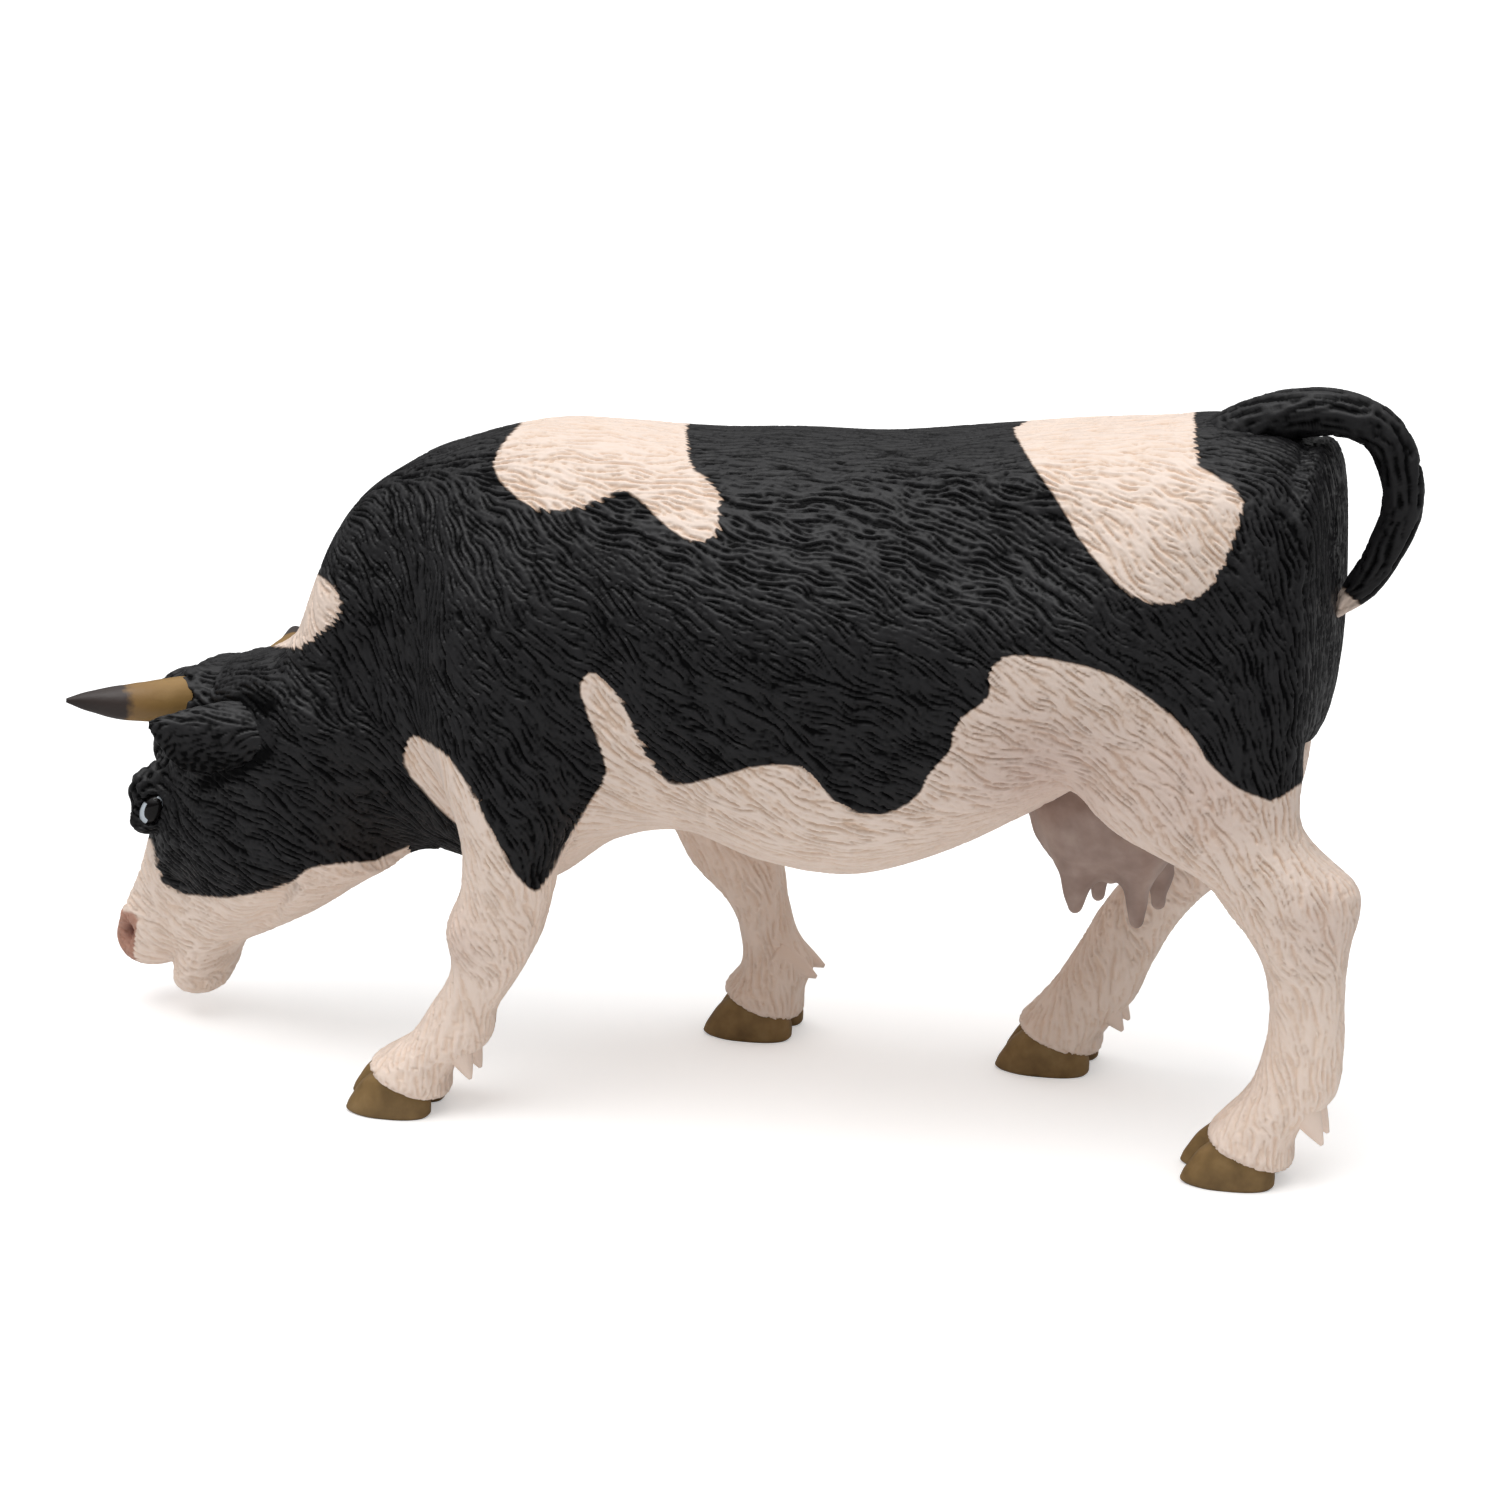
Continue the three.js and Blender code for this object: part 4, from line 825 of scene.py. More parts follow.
# %% The coat paint
BLACK = (0.003, 0.003, 0.0033)
# Painted shade and light on the black: darker in the stroke's grooves, lighter on its locks, and less shine
# in the grooves
BLACK_LIT_LOCK = (0.018, 0.0175, 0.019)
SHEEN_IN_GROOVE, SHEEN_ON_LOCK = 0.05, 0.32
CREAM = (0.92, 0.77, 0.67)
CREAM_MID = (0.88, 0.71, 0.59)
CREAM_WASH = (0.74, 0.55, 0.42)
CREAM_PINK_AND_SHADE = (0.62, 0.44, 0.38)
FRINGE = (0.16, 0.09, 0.05)
FRINGE_SPAN, BLACK_SPAN = (-0.05, 0.25), (0.06, 0.26)    # mm inside the black over which each sets in
NOSE_PINK = (0.50, 0.27, 0.20)
NOSTRIL_RED = (0.17, 0.06, 0.045)
FINE_SCALE, BROAD_SCALE = 900, 160    # specks and blotches in a metre
FINE_IN_WASH, FINE_IN_LOCK_LIGHT, FINE_IN_EDGE, BROAD_IN_PINK, RELIEF_IN_EDGE = 0.25, 0.6, 0.2, 0.12, 0.16
WASH_SPAN, LOCK_LIGHT_SPAN, SHEEN_SPAN = (-0.75, 0.35), (-0.35, 0.75), (-0.45, 0.5)    # heights of the stroke
GLOSS_SPAN, SMOOTHEST, ROUGHEST = (0.3, 0.7), 0.36, 0.5
PORES = (2600, 3.0, 0.35, 0.00006)    # scale, detail, strength and depth of the finest relief


def coat_paint():
    """Cream with wash, pink and nose, then the fringe, then the black, each mixed over the last."""
    paint, tree, shader = new_paint("painted_coat", 0.5, 0.3)
    relief, black, pink, nose, wash = [read_attribute(tree, name)
                                       for name in ("relief", "black", "pink", "nose", "wash")]
    fine, broad = object_noise(tree, FINE_SCALE), object_noise(tree, BROAD_SCALE)
    wash = add_up(tree, wash, fine, FINE_IN_WASH)
    cream = colour_steps(tree, wash, *WASH_SPAN, [(0.0, CREAM_WASH), (0.6, CREAM_MID), (1.0, CREAM)])
    # Pink where flesh shows, which on the flank and thighs is painted shade as well
    cream = mix_colours(tree, add_up(tree, pink, broad, BROAD_IN_PINK), cream, CREAM_PINK_AND_SHADE)
    bare = colour_steps(tree, nose, 1.0, 2.0, [(0.0, NOSE_PINK), (1.0, NOSTRIL_RED)])
    cream = mix_colours(tree, nose, cream, bare)
    # Painted shade in the black's grooves and painted light on its locks, by the stroke's height
    lock_light = add_up(tree, relief, fine, FINE_IN_LOCK_LIGHT)
    dark = colour_steps(tree, lock_light, *LOCK_LIGHT_SPAN, [(0.0, BLACK), (1.0, BLACK_LIT_LOCK)])
    edge = add_up(tree, add_up(tree, black, relief, RELIEF_IN_EDGE), fine, FINE_IN_EDGE)
    fringe_share, black_share = [colour_steps(tree, edge, *span, [(0.0, grey(0)), (1.0, grey(1))])
                                 for span in (FRINGE_SPAN, BLACK_SPAN)]
    fringed = mix_colours(tree, fringe_share, cream, FRINGE)
    gloss = colour_steps(tree, fine, *GLOSS_SPAN, [(0.0, grey(SMOOTHEST)), (1.0, grey(ROUGHEST))])
    # Painted shade: the shine is weaker in the grooves than on the locks
    sheen = colour_steps(tree, lock_light, *SHEEN_SPAN, [(0.0, grey(SHEEN_IN_GROOVE)), (1.0, grey(SHEEN_ON_LOCK))])
    wire(tree, shader, {"Base Color": mix_colours(tree, black_share, fringed, dark), "Roughness": gloss,
                        "Specular IOR Level": sheen})
    raise_bump(tree, shader, *PORES)
    return paint


COAT = coat_paint()
print("coat paint nodes:", len(COAT.node_tree.nodes))

# %% [markdown]
# ## Pieces out of the skin
#
# The figure is cast in pieces, so the skin is cut at the seams: the head at the neck, each limb at its
# root, and the trunk in six lengths, because one mesh of it would be too heavy. Neighbouring faces vote on
# the cut, which smooths its line. Cut edges share their places and their normals, so no seam shows, and
# every cut is closed inside with a fan of faces that is painted like its edge.


# %% Mesh helpers
def build_mesh(name, points, quads, triangles=()):
    """A mesh from whole arrays: points in mm of the cow's frame, quads and triangles of point numbers."""
    triangles = np.asarray(triangles, int).reshape(-1, 3)
    mesh = bpy.data.meshes.new(name)
    mesh.vertices.add(len(points))
    mesh.vertices.foreach_set("co", to_frame(points).astype(np.float32).ravel())
    corners = np.concatenate([quads.ravel(), triangles.ravel()]).astype(np.int32)
    mesh.loops.add(len(corners))
    mesh.loops.foreach_set("vertex_index", corners)
    starts = np.concatenate([4 * np.arange(len(quads)), 4 * len(quads) + 3 * np.arange(len(triangles))])
    mesh.polygons.add(len(starts))
    mesh.polygons.foreach_set("loop_start", starts.astype(np.int32))
    mesh.polygons.foreach_set("use_smooth", np.ones(len(starts), bool))
    mesh.update(calc_edges=True)
    return mesh


def add_piece(name, shape, node, paint, layers=(), normals=None):
    """The shape as an object of the figure: painted, with its attributes, riding on its one body."""
    mesh = build_mesh(name, *shape)
    mesh.materials.append(paint)
    for title, values in dict(layers).items():
        layer = mesh.attributes.new(title, "FLOAT", "POINT")
        layer.data.foreach_set("value", np.asarray(values, np.float32))
    if normals is not None:
        mesh.normals_split_custom_set(normals.tolist())
    piece = bpy.data.objects.new(name, mesh)
    bpy.context.scene.collection.objects.link(piece)
    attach(piece, "root")
    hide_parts(node)
    print(name, "has", sum(len(p.vertices) - 2 for p in mesh.polygons), "triangles")


ALL_BLACK, ALL_CREAM = 3.0, -3.0    # mm inside the black, for pieces of one colour


def coat_layers(count, black, relief, pink=0.0):
    """The coat paint's attributes for a piece without patches; a single number goes to every point."""
    layers = {"black": black, "relief": relief, "pink": pink, "nose": 0.0}
    return {title: np.full(count, value) for title, value in layers.items()}


def fan_caps(points, quads):
    """Faces that close a cut skin: each open loop gets one more row, its mean, and a fan of triangles to it.
    A loop is found by handing the least point number along its open sides until nothing changes."""
    start, end = quads, np.roll(quads, -1, axis=1)
    ahead, back = (start * len(points) + end).ravel(), (end * len(points) + start).ravel()
    open_side = ~np.isin(ahead, back)
    start, end = start.ravel()[open_side], end.ravel()[open_side]
    loop = np.arange(len(points))
    while True:
        least = np.minimum(loop[start], loop[end])
        if (loop[start] == least).all() and (loop[end] == least).all():
            break
        np.minimum.at(loop, start, least)
        np.minimum.at(loop, end, least)
    _, which = np.unique(loop[start], return_inverse=True)
    count = np.bincount(which)
    middles = np.stack([np.bincount(which, column[start]) / count for column in points.T], axis=1)
    return middles, np.stack([end, start, len(points) + which], axis=1)


# %% Which face belongs to which piece
TRUNK_LENGTHS = np.array(["torso_neck", "torso_chest", "torso_ribs", "torso_barrel", "torso_loin",
                          "torso_rump"], dtype=object)
TRUNK_CUTS = (-30.0, -11.0, 7.0, 25.0, 43.5)    # x between one length and the next
SEAM_HEIGHT = {"foreleg_left": 30.0, "foreleg_right": 30.0, "hindleg_left": 36.5, "hindleg_right": 36.5}
SEAM_REACH = 1.5           # mm from a limb's own ovals that still belong to it
NECK_SEAM_POINT = (-2.0, -3.0)
NECK_SEAM_TILT = np.radians(23.0)
NECK_SEAM_TOP = 60.0
VOTING_ROUNDS = 8
PINK_AND_SHADE_SPOTS = [    # centre, spread, share of pink; on the flank and thighs it is painted shade as well
    ((62, -14, 29), 4.0, 0.28), ((-26, -18, 20), 3.5, 0.28), ((-9, 18, 19), 4.0, 0.28),
    ((44, 16, 25), 5.0, 0.28), ((34, -17, 43), 8.0, 0.5), ((50, -17, 43), 8.0, 0.35),
    ((34, 17, 43), 8.0, 0.4), ((48, 17, 43), 8.0, 0.3)]
NOSE_BORDER = 28.8         # how far along the nose the hair ends, in mm
NOSE_BELOW, NOSE_ABOVE = (2.9, 0.1), (0.9, 1.2)    # how fast that border runs on, from which height
NOSTRIL_AT, NOSTRIL_SPREAD = (31.6, 4.0, 0.7), (0.9, 1.6, 0.75)
EAR_SHADE = 1.6            # how far the painted shadow round an ear darkens the coat, in units of the relief
SHADE_AT, SHADE_WIDTH = 0.2, 0.8    # mm outside the ear's outline where it is darkest, and its spread
SHADE_ROOT, SHADE_TIP, SHADE_DEEP = (-0.2, 0.0), (1.1, 0.9), (-9.5, -6.0)    # and where it fades out
WASH_LEAST = 0.45          # share of the wash on the limbs and the face; the trunk has all of it
WASH_HEIGHTS, WASH_BACK = (24, 36), (-44, -36)


def piece_names(middles):
    """The piece of each face: a limb below its seam, the head before the neck, else a trunk length."""
    x, y, z = middles.T
    names = TRUNK_LENGTHS[np.searchsorted(TRUNK_CUTS, x)]
    for limb, height in SEAM_HEIGHT.items():
        names[(z < height) & (limb_distance(limb, x, y, z) < SEAM_REACH)] = limb
    a, _, d = head_frame(x, y, z)
    past_a, past_d = a - NECK_SEAM_POINT[0], d - NECK_SEAM_POINT[1]
    behind = -np.cos(NECK_SEAM_TILT) * past_a - np.sin(NECK_SEAM_TILT) * past_d
    names[(x < HEAD_REACH) & (behind < 0) & (z < NECK_SEAM_TOP)] = "head"
    return names


def settled_names(names, quads):
    """Names after rounds of voting: a face takes the name that most faces round its corners have."""
    titles, title = np.unique(names.astype(str), return_inverse=True)
    for _ in range(VOTING_ROUNDS):
        votes = [np.bincount(quads.ravel(), np.repeat(title == k, 4)) for k in range(len(titles))]
        title = np.stack(votes, axis=1)[quads].sum(axis=1).argmax(axis=1)
    return titles[title]


def pink_and_shade_spots(points):
    """Pink where flesh shows through the cream on the knees and hocks; on the flank fold and the thighs,
    pink and painted shade together.
    """
    x, y, z = points.T
    return sum(share * np.exp(-((x - cx) ** 2 + (y - cy) ** 2 + (z - cz) ** 2) / spread ** 2)
               for (cx, cy, cz), spread, share in PINK_AND_SHADE_SPOTS)


def nose_pad(points):
    """One on the bare skin round the nostrils, up to two inside them, zero on the hair."""
    a, l, d = head_frame(*points.T)
    below = NOSE_BELOW[0] * np.maximum(NOSE_BELOW[1] - d, 0)
    above = NOSE_ABOVE[0] * np.maximum(d - NOSE_ABOVE[1], 0)
    pad = ramp(a - NOSE_BORDER - below - above, -0.3, 0.3)
    return pad * (1 + bump(a, np.abs(l), d, NOSTRIL_AT, NOSTRIL_SPREAD))


def ear_shade(points):
    """One on the coat close round the outline of an ear, where the ear's shadow is painted, and zero
    elsewhere.
    """
    a, l, d = head_frame(*points.T)
    local = np.stack([a, np.abs(l), d], axis=1) - EAR_ROOT
    share, across = local @ EAR_LONG / EAR_LENGTH, local @ EAR_DOWN
    above, below, _ = along(EAR_LEAF, share)
    past = np.maximum(across - below, -above - across)
    near = np.exp(-((past - SHADE_AT) / SHADE_WIDTH) ** 2)
    near = near * ramp(share, *SHADE_ROOT) * ramp(share, *SHADE_TIP)
    behind = local @ np.cross(EAR_LONG, EAR_DOWN)
    return near * ramp(behind, *SHADE_DEEP) * (points[:, 0] < HEAD_REACH)


# %% Cutting the skin
face_name = piece_names(coarse_points[coarse_quads].mean(axis=1))
face_name = np.repeat(settled_names(face_name, coarse_quads), 4)
on_trunk = ramp(skin_points[:, 2], *WASH_HEIGHTS) * ramp(skin_points[:, 0], *WASH_BACK)
# Painted shadow round the ears: the relief attribute is lowered there, which darkens the black and its shine
skin_layers = {"black": skin_black, "relief": skin_relief - EAR_SHADE * ear_shade(skin_points),
               "wash": skin_relief * (WASH_LEAST + (1 - WASH_LEAST) * on_trunk),
               "pink": pink_and_shade_spots(skin_points), "nose": nose_pad(skin_points)}
skin_rows = np.column_stack([skin_points, *skin_layers.values()])
for piece_name in sorted(set(face_name)):
    used, quads = np.unique(skin_quads[face_name == piece_name], return_inverse=True)
    quads = quads.reshape(-1, 4)
    middles, caps = fan_caps(skin_rows[used], quads)
    rows = np.concatenate([skin_rows[used], middles])
    points, layers = rows[:, :3], dict(zip(skin_layers, rows[:, 3:].T))
    first, second, last = points[caps].transpose(1, 0, 2)
    cap_normals = np.cross(second - first, last - first)
    cap_normals /= np.maximum(np.linalg.norm(cap_normals, axis=1, keepdims=True), 1e-12)
    normals = np.concatenate([skin_normals[used][quads].reshape(-1, 3), np.repeat(cap_normals, 3, axis=0)])
    node = "torso" if piece_name.startswith("torso") else piece_name
    add_piece(piece_name + "_coat", (points, quads, caps), node, COAT, layers, normals)

# %% [markdown]
# ## Pieces carried along a path
#
# Tail, horns, ears, hooves and dewclaws don't branch, so each is a grid: rings of points carried along a
# path, joined by quads and closed at both ends. The tail and the ears get the same strokes as the coat.


# %% Rings into a closed mesh
def ring_faces(rings, sides):
    """Quads between neighbouring rings, and a fan at each end to one more point."""
    number = np.arange(rings * sides).reshape(rings, sides)
    ahead = np.roll(number, -1, axis=1)
    quads = np.stack([number[:-1], ahead[:-1], ahead[1:], number[1:]], axis=-1).reshape(-1, 4)
    first, last = rings * sides, rings * sides + 1
    start_fan = np.stack([ahead[0], number[0], np.full(sides, first)], axis=1)
    end_fan = np.stack([number[-1], ahead[-1], np.full(sides, last)], axis=1)
    return quads, np.concatenate([start_fan, end_fan])


def closed_rings(grid):
    """The grid's points with the middles of its end rings added, and its faces."""
    points = np.concatenate([grid.reshape(-1, 3), grid[[0, -1]].mean(axis=1)])
    return points, *ring_faces(*grid.shape[:2])


FINER = 40    # places along a path for each ring, from which the even ones are picked


def even_path(knots, count):
    """A smooth curve through given points, at even steps of its length."""
    knots = np.asarray(knots, float)
    chord = np.concatenate([[0], np.cumsum(np.linalg.norm(np.diff(knots, axis=0), axis=1))])
    rows = np.column_stack([chord, knots])
    dense = np.stack(along(rows, np.linspace(0, chord[-1], FINER * count)), axis=1).astype(float)
    length = np.concatenate([[0], np.cumsum(np.linalg.norm(np.diff(dense, axis=0), axis=1))])
    even = np.linspace(0, length[-1], count)
    return np.stack([np.interp(even, length, dense[:, i]) for i in range(3)], axis=1)


def path_rings(path, radius, sides, flat):
    """Round rings square to the path: one axis stays as near as it can to the flat direction."""
    tangent = np.gradient(path, axis=0)
    tangent /= np.linalg.norm(tangent, axis=1, keepdims=True)
    across = np.cross(flat, tangent)
    across /= np.linalg.norm(across, axis=1, keepdims=True)
    up = np.cross(tangent, across)
    turn = np.linspace(0, 2 * np.pi, sides, endpoint=False)
    out = across[:, None] * np.cos(turn)[:, None] + up[:, None] * np.sin(turn)[:, None]
    return path[:, None] + np.asarray(radius)[:, None, None] * out, out, tangent


# %% The tail
TAIL_PATH = [(46, 70.4), (51.1, 74.5), (55.1, 76.3), (60.1, 76.9), (63.9, 75.7), (66.5, 71.4), (66.7, 67.4),
             (65.4, 63.7), (63.2, 59.8), (60.4, 56.3)]
TAIL_RADIUS = [(0, 3.3), (0.2, 2.7), (0.4, 2.25), (0.6, 2.1), (0.8, 1.8), (0.93, 1.4), (1, 0.5)]
TAIL_RINGS, TAIL_SIDES = 260, 56
TAIL_DEPTH, TAIL_STROKES = 0.3, (0.95, 0.6, 0.6)    # mm of relief; spacing, step and wave of its strokes
TAIL_END, TAIL_MM = 0.935, 30    # share of the tail at which the black ends, and the mm a whole share counts

tail_path = even_path([(x, 0, z) for x, z in TAIL_PATH], TAIL_RINGS)
tail_radius, = along(TAIL_RADIUS, np.linspace(0, 1, TAIL_RINGS))
tail_grid, tail_out, tail_way = path_rings(tail_path, tail_radius, TAIL_SIDES, np.array([0, 1.0, 0]))
tail_way = np.broadcast_to(tail_way[:, None], tail_out.shape)
tail_normals = tail_out.reshape(-1, 3)
tail_relief = stroke_height(hair_strokes(tail_grid.reshape(-1, 3), tail_normals, tail_way.reshape(-1, 3),
                                         *TAIL_STROKES))
tail_grid = tail_grid + TAIL_DEPTH * (tail_relief[:, None] * tail_normals).reshape(tail_grid.shape)
tail_share = np.append(np.repeat(np.linspace(0, 1, TAIL_RINGS), TAIL_SIDES), [0, 1])
tail_black = TAIL_MM * (TAIL_END - tail_share)
tail_layers = coat_layers(len(tail_share), tail_black, np.append(tail_relief, [0, 0]))
add_piece("tail_coat", closed_rings(tail_grid), "tail", COAT, tail_layers)


# %% Horns
def head_place(local):
    """A point of the head's own frame in the cow's frame."""
    return HEAD_AT + np.asarray(local, float) @ HEAD_AXES


HORN = plain_paint("horn_paint", (0.42, 0.4), (700, 5), (0.0, 1.1), [
    (0.0, (0.34, 0.21, 0.075)), (0.45, (0.33, 0.195, 0.065)), (0.62, (0.28, 0.16, 0.055)),
    (0.67, (0.05, 0.036, 0.032)), (1.0, (0.03, 0.022, 0.02))], (1500, 4, 0.4, 0.0001), "share", 0.16)
HORN_PATH = [(0.5, 2.6, 7.2), (0.5, 5.6, 7.8), (1.5, 11.9, 10.1), (4.1, 17.1, 14.4)]
HORN_RADIUS = [(0, 2.4), (0.25, 2.4), (0.5, 2.15), (0.75, 1.55), (0.92, 0.75), (1, 0.22)]
HORN_RINGS, HORN_SIDES = 90, 40
RIPPLE, RIPPLE_CELL = 0.05, 1.4
for side, name in ((1, "horn_left"), (-1, "horn_right")):
    horn_line = head_place(even_path([(a, side * l, d) for a, l, d in HORN_PATH], HORN_RINGS))
    horn_share = np.linspace(0, 1, HORN_RINGS)
    horn_radius, = along(HORN_RADIUS, horn_share)
    horn_grid, horn_out, _ = path_rings(horn_line, horn_radius, HORN_SIDES, nose_way)
    ripple = RIPPLE * grain(horn_grid.reshape(-1, 3), RIPPLE_CELL).reshape(horn_grid.shape[:2])
    horn_layers = {"share": np.append(np.repeat(horn_share, HORN_SIDES), [0, 1])}
    add_piece(name + "_shell", closed_rings(horn_grid + ripple[..., None] * horn_out), name, HORN,
              horn_layers)

# %% [markdown]
# ## Ears
#
# An ear is a leaf that stands out under the horn with its round back to the side and its hollow to the
# front. Its section is drawn round by an angle: the cosine goes across the leaf, further down than up, and
# the sine puts the back in front of the hollow. The whole section is bowed, so the leaf is a thin shell. Its
# rows stand with the head's, because the coat round it gets a painted shadow. The leaf itself is painted a
# little lighter all over as painted light, and darker in its lower fold as painted shade.


# %% Ears
def facing_out(points, quads, ends):
    """The shape with its faces turned outwards: they are reversed if most of them face its middle."""
    a, b, c, d = points[quads].transpose(1, 0, 2)
    if np.einsum("ij,ij->", a - points.mean(axis=0), np.cross(c - a, d - b)) < 0:
        quads, ends = quads[:, ::-1], ends[:, ::-1]
    return points, quads, ends


EAR_BOW, EAR_DROOP = 0.125, 0.9             # bend across the leaf, and along it
EAR_FRAY, EAR_FRAY_COUNT = 0.2, 23          # mm by which the lower edge is frayed, and frays along it
EAR_BACK, EAR_HOLLOW = 0.55, -0.4           # shares of the thickness on each face
EAR_DEPTH, EAR_STROKES = 0.15, (0.62, 0.3, 0.6)    # mm of relief; spacing, step and wave of its strokes
EAR_EDGE, EAR_LEAN = 0.7, 0.35              # how full the edges are, and how far its strokes fan out
EAR_PAINTED_LIGHT, EAR_FOLD_SHADE, FOLD_SHADE_SPAN = 0.15, 0.8, (1.5, 4.0)    # painted light all over the leaf, and painted shade in its lower fold
EAR_RINGS, EAR_SIDES = 120, 132
for side, name in ((1, "ear_left"), (-1, "ear_right")):
    flip = np.array([1, side, 1])
    back_way = np.cross(EAR_LONG, EAR_DOWN)
    share = np.linspace(EAR_LEAF[0][0], 1, EAR_RINGS)
    above, below, thick = along(EAR_LEAF, share)
    turn = np.linspace(0, 2 * np.pi, EAR_SIDES, endpoint=False)
    fray = EAR_FRAY * grain(np.stack([share * EAR_FRAY_COUNT, 0 * share, 0 * share], axis=1), 1.0)
    reach = np.where(np.cos(turn) > 0, (below + fray)[:, None], above[:, None])
    across = reach * np.cos(turn)
    sine = np.sin(turn)
    shell = np.where(sine > 0, EAR_BACK, EAR_HOLLOW) * np.abs(sine) ** EAR_EDGE * thick[:, None]
    depth = shell - EAR_BOW * across ** 2 - EAR_DROOP * share[:, None] ** 2
    local = (EAR_ROOT + EAR_LENGTH * share[:, None, None] * EAR_LONG + across[..., None] * EAR_DOWN
             + depth[..., None] * back_way) * flip
    ear_points, ear_quads, ear_ends = facing_out(*closed_rings(head_place(local)))
    ear_normals = point_normals(ear_points, ear_quads)
    lean = np.append(np.tile(EAR_LEAN + EAR_LEAN * np.cos(turn), EAR_RINGS), [0, 0])[:, None]
    ear_way = ((np.cos(lean) * EAR_LONG + np.sin(lean) * EAR_DOWN) * flip) @ HEAD_AXES
    ear_relief = stroke_height(hair_strokes(ear_points, ear_normals, ear_way, *EAR_STROKES))
    ear_relief[-2:] = 0
    ear_points = ear_points + (EAR_DEPTH * ear_relief)[:, None] * ear_normals
    # Painted shade in the ear's lower fold, and painted light over the whole leaf, through its relief
    ear_fold_shade = np.append(ramp(across, *FOLD_SHADE_SPAN).ravel(), [0, 0])
    ear_layers = coat_layers(len(ear_points), ALL_BLACK, ear_relief + EAR_PAINTED_LIGHT - EAR_FOLD_SHADE * ear_fold_shade)
    add_piece(name + "_leaf", (ear_points, ear_quads, ear_ends), name, COAT, ear_layers)

# %% [markdown]
# ## Eyes
#
# Each eye is a glossy dark oval let into its socket, with a thin white crescent painted at its lower corner
# and a painted highlight at its upper corner. Both are placed as the photograph shows them, by their
# distance along and across the eye in its pixels, and the same paint goes to the mirrored eye.

# %% Eyes
# The palest step is the white paint of the lower corner and also the painted highlight of the upper corner
EYE_PAINT = plain_paint("eye_paint", (0.08, 0.35), (2500, 3), (0.45, 0.85), [
    (0.0, (0.006, 0.005, 0.005)), (0.6, (0.05, 0.055, 0.065)), (1.0, (0.6, 0.66, 0.72))],
    attribute="white", share=0.3)
EYE_RADII = np.array([2.0, 1.1, 1.2])
EYE_RINGS, EYE_SIDES = 64, 72
EYE_PIXEL = np.array([153.2, 809.0])    # the eye's middle in the photograph, and its two directions there
EYE_LONG, EYE_BROAD = np.array([-0.525, 0.851]), np.array([0.851, 0.525])
EYE_HALF = (13.0, 8.5)                  # half its length and breadth, in pixels
EYE_RIM, EYE_TURNED = (0.86, 0.95), (0.06, 0.14)    # share of the way out, and how far it faces the camera
LOWER_WHITE, UPPER_HIGHLIGHT = ((-4, 1), (3, 0)), ((-5, -7.5), (-4, -2))    # along and across, in pixels: white paint below, a painted highlight above
rise = np.linspace(-np.pi / 2, np.pi / 2, EYE_RINGS + 2)[1:-1, None]
turn = np.linspace(0, 2 * np.pi, EYE_SIDES, endpoint=False)
unit = np.stack(np.broadcast_arrays(np.cos(rise) * np.cos(turn), np.cos(rise) * np.sin(turn), np.sin(rise)),
                axis=-1)
seen = photo_pixels(head_place(EYE + EYE_RADII * unit).reshape(-1, 3)) - EYE_PIXEL
length, breadth = seen @ EYE_LONG, seen @ EYE_BROAD
rim = ramp(np.hypot(length / EYE_HALF[0], breadth / EYE_HALF[1]), *EYE_RIM)
lower, upper = [ramp(length, *far) * ramp(breadth, *wide) for far, wide in (LOWER_WHITE, UPPER_HIGHLIGHT)]
facing = (unit / EYE_RADII).reshape(-1, 3) @ (HEAD_AXES @ to_camera)
# The white paint and the painted highlight together, where the eye faces the camera
eye_white_and_highlight = (rim * np.maximum(lower, upper) * ramp(facing, *EYE_TURNED)).reshape(EYE_RINGS, EYE_SIDES)
for side, name in ((1, "eye_left"), (-1, "eye_right")):
    eye_grid = head_place((EYE + EYE_RADII * unit) * [1, side, 1])[:, ::-side]
    corner = np.append(eye_white_and_highlight[:, ::-side].ravel(), [0, 0])
    add_piece(name, closed_rings(eye_grid), "head", EYE_PAINT, {"white": corner})


# %% [markdown]
# ## Hooves and dewclaws
#
# A cow's foot is two claws with a cleft between them. Each claw is a stack of level ovals: a flat sole with
# a worn edge, a toe wall that leans back, and a top that hides under the skirt of hair. The dewclaws are
# two small points behind the fetlock, painted cream with the leg.

# %% Claws and dewclaws
HOOF = plain_paint("hoof_paint", (0.5, 0.35), (420, 5), (0.3, 0.75), [
    (0.0, (0.165, 0.099, 0.036)), (0.55, (0.235, 0.144, 0.054)), (1.0, (0.29, 0.185, 0.076))],
    (1800, 4, 0.4, 0.00012))
CLAW_ROWS = [    # height, how far the toe and the heel have moved in, share of the claw's half width
    (0.0, 0.45, 0.35, 0.90), (0.25, 0.12, 0.08, 0.98), (0.7, 0.2, 0.0, 1.0), (2.0, 0.9, 0.1, 1.0),
    (3.4, 1.9, 0.9, 0.92), (4.4, 3.0, 1.9, 0.80), (5.2, 3.8, 2.7, 0.62)]
CLAW_HALF_WIDTH = 2.15
CLEFT = 0.5        # mm between the two claws
TOE_AHEAD = 0.9    # the near feet are turned, so that their inner toe is ahead
CLAW_RINGS, CLAW_SIDES = 40, 56
CLAW_SQUARE, CLAW_PINCH, PINCH_SPAN = 0.85, 0.16, (0.2, 1.0)    # how square, and narrower at the toe
CLAW_OUTER, CLAW_INNER = 1.12, 0.88          # bow of the outer wall and of the one at the cleft
DEWCLAW_RINGS, DEWCLAW_SIDES = 14, 20
DEWCLAW_RADIUS, DEWCLAW_TAPER, DEWCLAW_BLUNT = 2.1, 0.94, 0.85    # at the root, share lost at the tip
DEWCLAW_APART, DEWCLAW_SPLAY = 1.5, 0.25
